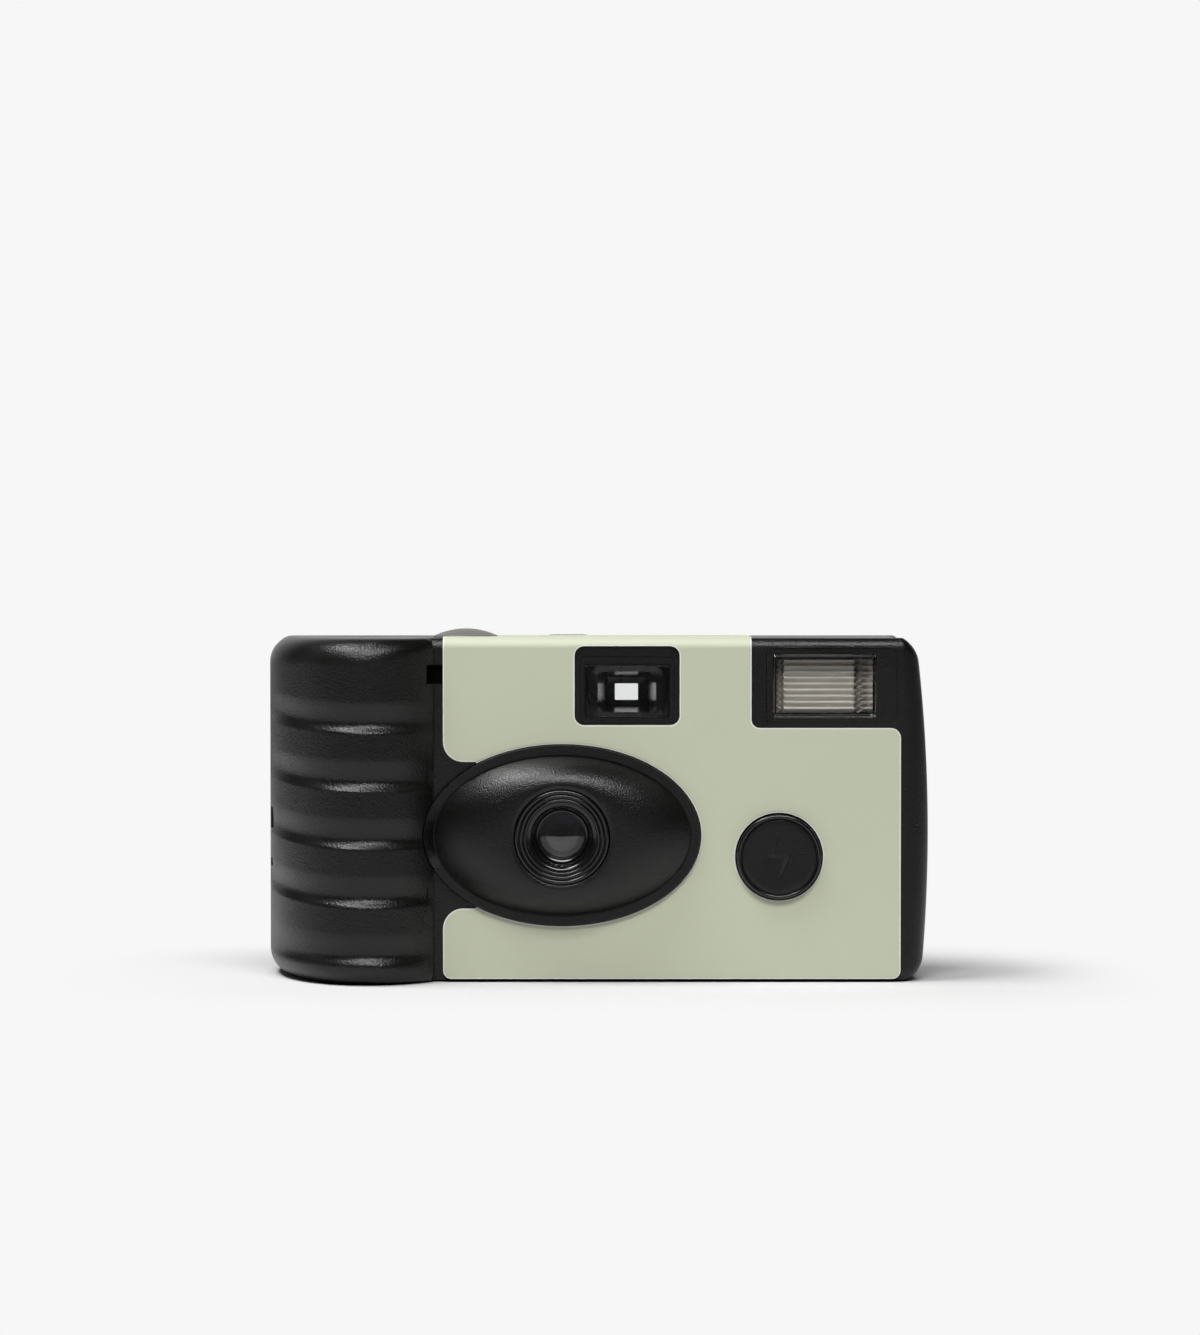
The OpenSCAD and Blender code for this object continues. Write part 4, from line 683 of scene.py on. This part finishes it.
def ridge(r_out, r_in, y, steps=6):
    """The rounded crest of one ridge, from its outer to its inner radius."""
    half = 0.5 * (r_out - r_in)
    mid = 0.5 * (r_out + r_in)
    return [(mid + half * math.cos(math.pi * i / steps), y - 0.8 * half * math.sin(math.pi * i / steps))
            for i in range(steps + 1)]


ring_low, ring_high = reach("lens_ring")
ring_y = ring_low[1] + 0.35
lens_low, lens_high = reach("taking_lens")
lens_front_y = lens_low[1]
lens_view_r = 4.3
lens_stop_y = lens_front_y + 1.35
lens_pocket_r = 4.9
bowl_r, bowl_in, bowl_d = 6.1, 1.3, 2.7
bowl_steps = 10
ridges = ((8.3, 7.62, 0.0, 0.45), (7.5, 6.86, 0.12, 0.6), (6.74, 6.2, 0.28, 0.75))
next_radii = (ridges[1][0], ridges[2][0], bowl_r)
ring_profile = [(ridges[0][0], ring_high[1])]
for (r_out, r_in, sunk, valley), r_next in zip(ridges, next_radii):
    ring_profile += ridge(r_out, r_in, ring_y + sunk)
    ring_profile += [(r_in, ring_y + valley), (r_next, ring_y + valley)]
for i in range(bowl_steps + 1):
    a = math.radians(90 * i / bowl_steps)
    ring_profile.append((bowl_r - bowl_in * math.sin(a) ** 0.8,
                         ring_y + 0.5 + bowl_d * (1 - math.cos(a)) ** 0.9))
ring_profile += [(4.62, ring_y + 3.15), (4.5, ring_y + 3.1), (lens_view_r, ring_y + 3.2),
                 (lens_view_r, lens_stop_y), (lens_pocket_r, lens_stop_y), (lens_pocket_r, ring_high[1])]
lens_ring = turned("lens_ring", ring_profile, (lens_x, 0, lens_z), "y", ring_gloss, 160)
smooth(lens_ring, 45)
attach(lens_ring, "housing")
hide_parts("lens_ring")

# Taking lens: one moulded acrylic meniscus, domed in front, clear and uncoated. It drops into the
# tube of the lens board on the fixed stop.
clear = bpy.data.materials.new("clear acrylic")
clear.use_nodes = True
tree = clear.node_tree
shader = tree.nodes["Principled BSDF"]
fill(shader, {"Base Color": (0.96, 0.97, 0.97, 1), "Transmission Weight": 1.0, "IOR": 1.49})
look = node(tree, "Group", {"Low Roughness": 0.0, "High Roughness": 0.05,
                            "Grains per Metre": 400, "Smudges per Metre": 120}, node_tree=moulded)
path = node(tree, "LightPath")
through = node(tree, "BsdfTransparent")
choice = node(tree, "MixShader")
join(
    tree,
    (look.outputs["Roughness"], shader.inputs["Roughness"]),
    (path.outputs["Is Shadow Ray"], choice.inputs[0]),
    (shader.outputs["BSDF"], choice.inputs[1]),
    (through.outputs["BSDF"], choice.inputs[2]),
    (choice.outputs["Shader"], tree.nodes["Material Output"].inputs["Surface"]),
)


def sag(radius, r):
    """How far a dome of this radius falls away at r from its middle."""
    return radius - math.sqrt(radius * radius - r * r)


lens_r = 5.0
rear_r = 4.6
front_curve = 9.0
rear_curve = 18.0
lens_steps = 14
lens_rear_y = lens_high[1]
lens_profile = []
for i in range(lens_steps + 1):
    r = lens_r * i / lens_steps
    lens_profile.append((r, lens_front_y + sag(front_curve, r)))
lens_profile += [(lens_r, lens_rear_y), (rear_r, lens_rear_y)]
for i in range(lens_steps + 1):
    r = rear_r * (lens_steps - i) / lens_steps
    lens_profile.append((r, lens_rear_y - sag(rear_curve, rear_r) + sag(rear_curve, r)))
taking_lens = turned("taking_lens", lens_profile, (lens_x, 0, lens_z), "y", clear, 96)
smooth(taking_lens, 30)
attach(taking_lens, "housing")
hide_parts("taking_lens")

# Viewfinder: a black tube through the camera with a clear pane in front, a mask with a small
# rectangular light at the back, and the eyepiece pane let into the rear cover.
tube_low, tube_high = reach("viewfinder_frame")
finder_black = finish("finder black plastic", (0.0025, 0.0024, 0.0023), (0.007, 0.0067, 0.0063),
                      (0.16, 0.3), 1500, 0.00001)
finder_cx = 0.5 * (finder_x0 + finder_x1)
finder_cz = 0.5 * (finder_z0 + finder_z1)
finder_round = 7.1
mask_half_w, mask_half_h = 2.1, 1.5
mask_cz = finder_cz - 0.6


def finder_mouth(grow, steps=96):
    """The round mouth of the tube, cut off by its flat sides."""
    half_w, half_h = 0.5 * (finder_x1 - finder_x0) - pane_gap, 0.5 * (finder_z1 - finder_z0) - pane_gap
    ring = []
    for i in range(steps):
        a = math.tau * i / steps
        x, z = (finder_round + grow) * math.cos(a), (finder_round + grow) * math.sin(a)
        ring.append((finder_cx + max(min(x, half_w), -half_w), finder_cz + max(min(z, half_h), -half_h)))
    return ring


def finder_square(half_w, half_h, cz, steps=96):
    """A rectangle with as many points as the mouth."""
    ring = []
    for i in range(steps):
        a = math.tau * i / steps
        c, s = math.cos(a), math.sin(a)
        k = 1 / max(abs(c) / half_w, abs(s) / half_h)
        ring.append((finder_cx + k * c, cz + k * s))
    return ring


tube_corners = ((tube_low[0], tube_low[2]), (tube_high[0], tube_low[2]),
                (tube_high[0], tube_high[2]), (tube_low[0], tube_high[2]))
tube = prism(tube_corners, tube_low[1], tube_high[1], "finder_tube", finder_black)
mask_y = tube_high[1] - 6
mouth_flare = 0.35
mask = finder_square(mask_half_w, mask_half_h, mask_cz)
bore = loft("cutter", [[(x, y, z) for x, z in ring] for y, ring in (
    (tube_low[1] - 1, finder_mouth(mouth_flare)),
    (tube_low[1] + 0.001, finder_mouth(mouth_flare)),
    (tube_low[1] + 0.35, finder_mouth(0)),
    (tube_low[1] + 3, finder_mouth(-0.3)),
    (tube_low[1] + 3.2, finder_square(5.2, 3.6, finder_cz - 0.2)),
    (mask_y, finder_square(mask_half_w + 1.4, mask_half_h + 1.1, mask_cz + 0.1)),
    (mask_y + 0.2, mask),
    (mask_y + 1.0, mask),
    (mask_y + 1.2, finder_square(4.2, 3.2, finder_cz - 1)),
    (tube_high[1] + 1, finder_square(4.6, 3.6, finder_cz - 0.6)),
)])
cut(tube, bore)
smooth(tube, 25)
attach(tube, "housing")
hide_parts("viewfinder_frame")
pane_bevel = 0.1
finder_pane = loft("finder_lens", [
    [(x, y, z) for x, z in round_rect(finder_low[0] + e, finder_high[0] - e,
                                      finder_low[2] + e, finder_high[2] - e, 0.3)]
    for y, e in ((finder_high[1], 0), (finder_low[1] + pane_bevel, 0), (finder_low[1], pane_bevel))
], clear)
smooth(finder_pane, 30)
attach(finder_pane, "housing")
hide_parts("viewfinder_front_lens")
eyepiece = loft("finder_eyepiece", [
    [(x, y, z) for x, z in round_rect(eye_low[0], eye_high[0], eye_low[2], eye_high[2], 0.9, g)]
    for y, g in ((eye_low[1], -0.05), (eye_low[1] + 0.1, 0), (eye_high[1] - 0.3, 0), (eye_high[1], -0.3))
], clear)
smooth(eyepiece, 30)
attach(eyepiece, "housing")
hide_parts("viewfinder_eyepiece")

# Flash head: a bright ribbed reflector behind a clear window that is flush with the label, with the
# glass tube across the bottom of the trough. The window is welded into the front cover.
reflector_low = reach("flash_reflector")[0]
reflector_bright = finish("bright reflector", (0.36, 0.336, 0.300), (0.48, 0.454, 0.414),
                          (0.3, 0.42), 600, 0.00001, Metallic=0.25)
rib_count = 9
rib_margin = 0.8
rib_pitch = (flash_z1 - flash_z0 - 2 * rib_margin) / rib_count
rib_depth = 0.55
rib_rise, rib_crest = 0.62, 0.74
rib_x0, rib_x1 = flash_x0 + 2.0, flash_x1 - 3.9
reflector_rim = 0.9
rib_sink = 0.8
rib_y = reflector_low[1] + reflector_rim + rib_sink
ribs = []
for i in range(rib_count):
    z0 = flash_z0 + rib_margin + i * rib_pitch
    ribs += [(z0, 0), (z0 + rib_rise * rib_pitch, -rib_depth), (z0 + rib_crest * rib_pitch, -rib_depth),
             (z0 + rib_pitch, 0)]
sheet_t = 0.4
rib_points, rib_faces = [], []
columns = (
    (flash_x0 + 0.35, 1.8, 0.2, 0.0), (flash_x0 + 1.1, 0.6, 0.5, 0.2), (rib_x0 - 0.3, 1.5, 1.0, 0.25),
    (rib_x0, 0.0, 1.0, 0.1), (rib_x1, 0.0, 1.0, 0.1), (rib_x1 + 0.6, 2.0, 0.9, 0.25),
    (rib_x1 + 1.35, 0.5, 1.4, 0.45), (rib_x1 + 2.3, 1.3, 1.4, 0.3), (flash_x1 - 0.4, 0.6, 1.4, 0.0),
)
for x, back, share, sawtooth in columns:
    for i, (z, d) in enumerate(ribs):
        side = sawtooth if i % 4 in (1, 2) else -sawtooth
        rib_points.append((x + side, rib_y + back + d * share, z))
n = len(ribs)
for i in range(len(columns) - 1):
    for j in range(n - 1):
        rib_faces.append((i * n + j, i * n + j + 1, (i + 1) * n + j + 1, (i + 1) * n + j))
reflector = piece("flash_reflector", rib_points, rib_faces, reflector_bright)
thick = reflector.modifiers.new("sheet", "SOLIDIFY")
thick.thickness = sheet_t * mm
thick.offset = -1
reflector.data.shade_flat()
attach(reflector, "housing")
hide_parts("flash_reflector")
dress(clear, "flash_tube")
flash_pane = loft("flash_window", [
    [(x, y, z) for x, z in round_rect(flash_low[0], flash_high[0], flash_low[2], flash_high[2], 0.3, g)]
    for y, g in ((flash_high[1], -0.5), (flash_high[1] - 0.5, 0),
                 (flash_low[1] + 0.15, 0), (flash_low[1], -0.15))
], clear)
smooth(flash_pane, 30)
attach(flash_pane, "housing")
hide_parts("flash_window")

# Front label: coated card with a pale green print that stops short of its die-cut edges, so the white
# card shows there as a fine line. It is cut out round the lens, finder, flash and flash button, folded
# over the top edge to the joint line and glued down flat.
card = finish("white label card", (0.66, 0.67, 0.61), (0.72, 0.73, 0.68),
              (0.50, 0.60), 5200, 0.000006, smudges=30, strength=0.35)
print_green = finish("sage label print", (0.455, 0.482, 0.362), (0.490, 0.517, 0.398),
                     (0.46, 0.56), 5200, 0.000006, smudges=30, strength=0.35)
print_margin = 0.22
print_t = 0.04
bend_y, bend_z = plane_y + edge_r, body_h - edge_r
label_base_z = 0.6
bend_steps = 12
mouth_low, mouth_high = lens_z - 13.0, lens_z + 13.0
mouth_r = 3.6
mouth_right = lens_x - 15.2
flash_cut_x = flash_x0 - 3.8
flash_cut_z = flash_z0 - 1.8
flash_cut_r = 1.8
corner_r = 1.5
finder_cut_r = 1.7
oval_gap = 0.16
hole_gap = 0.3


def label_line(r, back_y):
    """The card's line seen from the side: up the front, round the bend and back to the joint line."""
    line = [(bend_y - r, 0.0), (bend_y - r, bend_z)]
    line += [(bend_y - r * math.cos(math.radians(90 * i / bend_steps)),
              bend_z + r * math.sin(math.radians(90 * i / bend_steps))) for i in range(1, bend_steps + 1)]
    return line + [(back_y, bend_z + r)]


def die(points, end_y=seam_y + 2):
    """A cutter straight through the card."""
    return prism(points, label_y - 2, end_y)


def quarter(cx, cz, r, start, turn=90, steps=10):
    """A rounded corner as (x, z) points."""
    return [(cx + r * math.cos(math.radians(start + turn * i / steps)),
             cz + r * math.sin(math.radians(start + turn * i / steps))) for i in range(steps + 1)]


def bent_sheet(name, r_in, r_out, inset, material):
    """One layer of the label, drawn in by inset along every cut edge."""
    left, right, base = label_left_x + inset, label_right_x - inset, label_base_z + inset
    low, high, lobe = mouth_low - inset, mouth_high + inset, mouth_r - inset
    cut_x, cut_z = flash_cut_x - inset, flash_cut_z - inset
    section = label_line(r_out, seam_y - inset) + label_line(r_in, seam_y - inset)[::-1]
    sheet = loft(name, [[(x, y, z) for y, z in section] for x in (left, right)], material)
    mouth = (
        [(mouth_right, low), (mouth_right, high)]
        + quarter(left + lobe, high + lobe, lobe, 270, -90)
        + [(left - 1, high + lobe), (left - 1, low - lobe)]
        + quarter(left + lobe, low - lobe, lobe, 180, -90)
    )
    flash_waste = (
        [(cut_x, body_h + 2)]
        + quarter(cut_x + corner_r + inset, cut_z + corner_r + inset, corner_r + inset, 180)
        + quarter(right - flash_cut_r + inset, cut_z - flash_cut_r + inset, flash_cut_r - inset, 90, -90)
        + [(right + 1, cut_z - flash_cut_r), (right + 1, body_h + 2)]
    )
    base_waste = (
        [(left - 1, -1), (right + 1, -1), (right + 1, base + corner_r)]
        + quarter(right - corner_r + inset, base + corner_r - inset, corner_r - inset, 0, -90)
        + quarter(left + corner_r - inset, base + corner_r - inset, corner_r - inset, 270, -90)
        + [(left - 1, base + corner_r)]
    )
    cut(
        sheet,
        die(lens_oval(oval_gap + inset)),
        die(mouth),
        die(round_rect(finder_x0 - finder_frame_x, finder_x1 + finder_frame_x, finder_z0 - finder_frame_low,
                       finder_z1 + finder_frame_top, finder_cut_r, inset), plane_y + 0.3),
        die(flash_waste),
        die(disc(flash_button_x, flash_button_z, flash_button_r + hole_gap, inset)),
        die(base_waste),
        loft("cutter", [[(x, y, z) for x, y in disc(button_x, button_y, button_r + hole_gap, inset)]
                        for z in (body_h - 2, body_h + 2)]),
    )
    smooth(sheet, 30)
    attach(sheet, "housing")
    return sheet


front_label = bent_sheet("front_label", edge_r + 0.01, edge_r + label_t - print_t, 0, card)
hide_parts("front_label")
bent_sheet("front_label_print", edge_r + label_t - print_t, edge_r + label_t, print_margin, print_green)

# Rear label: a plain piece of the same card on the back, with rounded corners and the same print,
# which again stops short of the cut edge. It is glued down flat.
back_low, back_high = reach("rear_label")


def flat_sheet(name, y0, y1, inset, material):
    """One layer of the rear label."""
    outline = round_rect(back_low[0], back_high[0], back_low[2], back_high[2], corner_r, -inset)
    sheet = prism(outline, y0, y1, name, material)
    smooth(sheet, 30)
    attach(sheet, "housing")
    return sheet


rear_label = flat_sheet("rear_label", rear_y + 0.01, back_high[1] - print_t, 0, card)
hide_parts("rear_label")
flat_sheet("rear_label_print", back_high[1] - print_t, back_high[1], print_margin, print_green)

# Flash button: a black push button with a polished ring round a satin cap, and a lightning sign sunk
# into it. It slides in the front cover and presses the leaf on the flash board.
flash_button_low, flash_button_high = reach("flash_button")
button_front = flash_button_low[1]
flange_back = plane_y + wall + 1.1
cap_profile = [(0.0, button_front + 0.12), (3.0, button_front + 0.08), (5.6, button_front + 0.02),
               (6.25, button_front), (6.5, button_front + 0.06), (6.62, button_front + 0.3),
               (6.66, button_front + 0.55), (6.74, button_front + 0.55), (6.78, button_front + 0.3)]
rim_r, rim_half, rim_h = 7.12, 0.34, 0.28
for degrees in range(15, 181, 15):
    a = math.radians(degrees)
    cap_profile.append((rim_r - rim_half * math.cos(a), button_front + 0.3 - rim_h * math.sin(a)))
flange_r, flange_t, stem_r = 8.5, 0.9, 2.0
cap_profile += [(flash_button_r, button_front + 0.6), (flash_button_r, flange_back - flange_t),
                (flange_r, flange_back - flange_t), (flange_r, flange_back), (stem_r, flange_back),
                (stem_r, flash_button_high[1]), (0.0, flash_button_high[1])]
flash_button = turned("flash_button", cap_profile, (flash_button_x, 0, flash_button_z), "y",
                      ring_gloss, 128, False)
bolt = [(0, 4.1), (-2.1, -0.4), (0.7, -0.4), (-0.25, -4.7), (2.2, 0.27), (-0.9, 0.55)]
bolt_sink = 0.55
cut(flash_button, loft("cutter", [
    [(flash_button_x + x * s, y, flash_button_z + z * s) for x, z in bolt]
    for y, s in ((button_front + bolt_sink, 0.97), (button_front - 1, 1.05))
]))
smooth(flash_button, 30)
cap_r, cap_d = 6.6, 0.4
flash_button.data.materials.append(surround_satin)
for face in flash_button.data.polygons:
    x, y, z = (c / mm for c in face.center)
    if math.hypot(x - flash_button_x, z - flash_button_z) < cap_r and y < button_front + cap_d:
        face.material_index = 1
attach(flash_button, "flash_button")
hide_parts("flash_button")

# Shutter button: a low dome of warm grey plastic that stands out of the top. Its flange stays under
# the front cover, and its stem presses the release lever.
button_grey = finish("warm grey plastic", (0.132, 0.126, 0.117), (0.165, 0.158, 0.147),
                     (0.36, 0.48), 3600, 0.00002)
button_low, button_high = reach("shutter_button")
dome_top_z = button_high[2]
flange_z = body_h - wall - 1.2
stem_z = button_low[2]
stem_tip = 0.6
dome_curve = 13.0
dome_r, rim_r = 5.3, 0.4
flange_r, flange_t, stem_r, tip_r = 6.5, 1, 1.5, 0.6
button_profile = [(0.0, dome_top_z)]
button_profile += [(r, dome_top_z - sag(dome_curve, r)) for r in (1, 2, 3, 4, 4.6, 5.0, dome_r)]
rim_z = dome_top_z - sag(dome_curve, dome_r)
for degrees in (30, 50, 70, 90):
    a = math.radians(degrees)
    button_profile.append((dome_r + rim_r * math.sin(a), rim_z - rim_r * (1 - math.cos(a))))
button_profile += [(button_r, flange_z + flange_t), (flange_r, flange_z + flange_t), (flange_r, flange_z),
                   (stem_r, flange_z), (stem_r, stem_z + stem_tip), (tip_r, stem_z + stem_tip),
                   (tip_r, stem_z), (0.0, stem_z)]
shutter_button = turned("shutter_button", button_profile, (button_x, button_y, 0), "z",
                        button_grey, 96, False)
smooth(shutter_button, 40)
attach(shutter_button, "shutter_button")
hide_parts("shutter_button")

# Thumbwheel: a black wheel whose ribbed rim shows in the slot at the back. Its axle keys into the
# spool of the film cartridge and winds the film after each picture.
rib_number = 60
rib_h = 0.22
rim_steps = rib_number * 8
axle_r = 2.6


def rim_ring(z, shrink):
    """One ring of the ribbed rim."""
    ring = []
    for i in range(rim_steps):
        r = wheel_r - shrink - rib_h * (1 - math.cos(rib_number * math.tau * i / rim_steps))
        a = math.tau * (i / rim_steps + 0.25)
        ring.append((wheel_x + r * math.cos(a), wheel_y + r * math.sin(a), z))
    return ring


thumbwheel = loft("thumbwheel", [
    rim_ring(wheel_z, 0.5), rim_ring(wheel_z + 0.15, 0.18), rim_ring(wheel_z + 0.5, 0),
    rim_ring(wheel_high[2] - 0.5, 0), rim_ring(wheel_high[2] - 0.15, 0.18), rim_ring(wheel_high[2], 0.5),
], cover_black)
axle = loft("axle", [[(x, y, z) for x, y in disc(wheel_x, wheel_y, axle_r, 0, 48)]
                     for z in (wheel_low[2], wheel_z + 1)], cover_black)
cut(thumbwheel, axle, operation="UNION")
smooth(thumbwheel, 40)
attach(thumbwheel, "thumbwheel")
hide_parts("thumbwheel")

# Counter window: a clear pane with a slight bulge in the top of the rear cover, over the dial.
counter_pane = loft("counter_window", [
    [(x, y, z) for x, y in round_rect(window_low[0], window_high[0],
                                      window_low[1], window_high[1], window_r, g)]
    for z, g in ((window_low[2], 0), (body_h - 0.1, 0), (body_h + 0.12, -0.15), (body_h + 0.28, -0.7),
                 (window_high[2], -1.6))
], clear)
smooth(counter_pane, 30)
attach(counter_pane, "housing")
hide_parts("counter_window")

# Ready lamp: an amber acrylic light pipe with a domed end, pushed into its hole in the back.
amber = finish("amber acrylic", (0.75, 0.20, 0.04), (0.85, 0.30, 0.08), (0.05, 0.12), 800, 0.000002,
               Transmission_Weight=0.6, IOR=1.49)
lamp_low, lamp_high = reach("ready_lamp")
lamp_profile = [(0.0, lamp_high[1]), (0.6, lamp_high[1] - 0.05), (1.1, lamp_high[1] - 0.18),
                (1.4, lamp_high[1] - 0.4), (1.5, lamp_high[1] - 0.6), (1.5, lamp_low[1]), (0.0, lamp_low[1])]
ready_lamp = turned("ready_lamp", lamp_profile, (lamp_x, 0, lamp_z), "y", amber, 48, False)
smooth(ready_lamp, 40)
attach(ready_lamp, "housing")
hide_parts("ready_lamp")

# Studio: a sheet of white paper that turns to plain white a little way from the object, a wide soft box
# high in front, a key soft box high at the left and a weak strip at the left.
paper_white = 0.93
paper_tone = 0.62
paper_half, paper_front = 4000, -330
sweep = piece("studio_floor", [(-paper_half, paper_front, 0), (paper_half, paper_front, 0),
                               (paper_half, paper_half, 0), (-paper_half, paper_half, 0)], [(0, 1, 2, 3)])
paper = bpy.data.materials.new("white paper sweep")
paper.use_nodes = True
tree = paper.node_tree
shader = tree.nodes["Principled BSDF"]
fill(shader, {"Base Color": (paper_tone, paper_tone, paper_tone, 1), "Roughness": 0.9,
              "Specular IOR Level": 0.1})
place = node(tree, "TexCoord")
near = node(tree, "VectorMath", operation="ABSOLUTE")
past_edge = node(tree, "VectorMath", {1: (cad_box[1][0], cad_box[1][1], 0)}, operation="SUBTRACT")
outside = node(tree, "VectorMath", {1: (0, 0, 0)}, operation="MAXIMUM")
far = node(tree, "VectorMath", operation="LENGTH")
fade = node(tree, "MapRange", {"From Min": 0.001, "From Max": 0.045}, interpolation_type="SMOOTHSTEP")
path = node(tree, "LightPath")
seen = node(tree, "Math", operation="MAXIMUM")
share = node(tree, "Math", operation="MULTIPLY")
glow = node(tree, "Emission", {"Color": (paper_white, paper_white, paper_white, 1)})
mix = node(tree, "MixShader")
join(
    tree,
    (place.outputs["Object"], near.inputs[0]),
    (near.outputs["Vector"], past_edge.inputs[0]),
    (past_edge.outputs["Vector"], outside.inputs[0]),
    (outside.outputs["Vector"], far.inputs[0]),
    (far.outputs["Value"], fade.inputs["Value"]),
    (path.outputs["Is Camera Ray"], seen.inputs[0]),
    (path.outputs["Is Transmission Ray"], seen.inputs[1]),
    (fade.outputs["Result"], share.inputs[0]),
    (seen.outputs[0], share.inputs[1]),
    (share.outputs[0], mix.inputs[0]),
    (shader.outputs["BSDF"], mix.inputs[1]),
    (glow.outputs["Emission"], mix.inputs[2]),
    (mix.outputs["Shader"], tree.nodes["Material Output"].inputs["Surface"]),
)
sweep.data.materials.append(paper)

world = bpy.data.worlds.new("studio")
bpy.context.scene.world = world
world.use_nodes = True
tree = world.node_tree
behind = tree.nodes["Background"]
fill(behind, {"Color": (1, 1, 1, 1)})
place = node(tree, "TexCoord")
axes = node(tree, "SeparateXYZ")
turn = node(tree, "MapRange", {"From Min": 0.75, "From Max": 0.97, "To Min": 0.04, "To Max": paper_white},
            interpolation_type="SMOOTHSTEP")
path = node(tree, "LightPath")
level = node(tree, "Mix", {3: paper_white}, data_type="FLOAT")
join(
    tree,
    (place.outputs["Generated"], axes.inputs[0]),
    (axes.outputs["Y"], turn.inputs["Value"]),
    (path.outputs["Is Camera Ray"], level.inputs[0]),
    (turn.outputs["Result"], level.inputs[2]),
    (level.outputs[0], behind.inputs["Strength"]),
)


def soft_box(name, position, aim, size, watts):
    """A rectangular light turned towards aim."""
    light = bpy.data.lights.new(name, "AREA")
    light.shape = "RECTANGLE"
    light.size, light.size_y = size
    light.energy = watts
    lamp = bpy.data.objects.new(name, light)
    bpy.context.scene.collection.objects.link(lamp)
    lamp.location = position
    aim_at = [aim[i] - position[i] for i in range(3)]
    lamp.rotation_euler = Vector(aim_at).to_track_quat("-Z", "Y").to_euler()


object_middle = (0, 0, 0.03)
soft_box("front top soft box", (0.05, -0.72, 0.92), object_middle, (0.8, 0.3), 11.8)
soft_box("key soft box", (-0.36, -0.12, 0.85), object_middle, (0.42, 0.25), 6.8)
soft_box("left strip", (-0.7, 0.10, 0.25), object_middle, (0.20, 0.5), 0.12)

# Camera: 0.7 m in front of the label and a little above the top of the object, tilted slightly down,
# with a long lens as for a product picture.
eye_x, eye_y, eye_z = 0.0008, -0.7105, 0.075
eye_tilt = 1.57
eye = bpy.data.cameras.new("camera")
eye.sensor_fit = "VERTICAL"
eye.sensor_height = 36
eye.lens = 106.8
stand = bpy.data.objects.new("camera", eye)
bpy.context.scene.collection.objects.link(stand)
stand.location = (eye_x, eye_y, eye_z)
stand.rotation_euler = (math.radians(90 - eye_tilt), 0, 0)
bpy.context.scene.camera = stand
bpy.context.scene.view_settings.view_transform = "Standard"
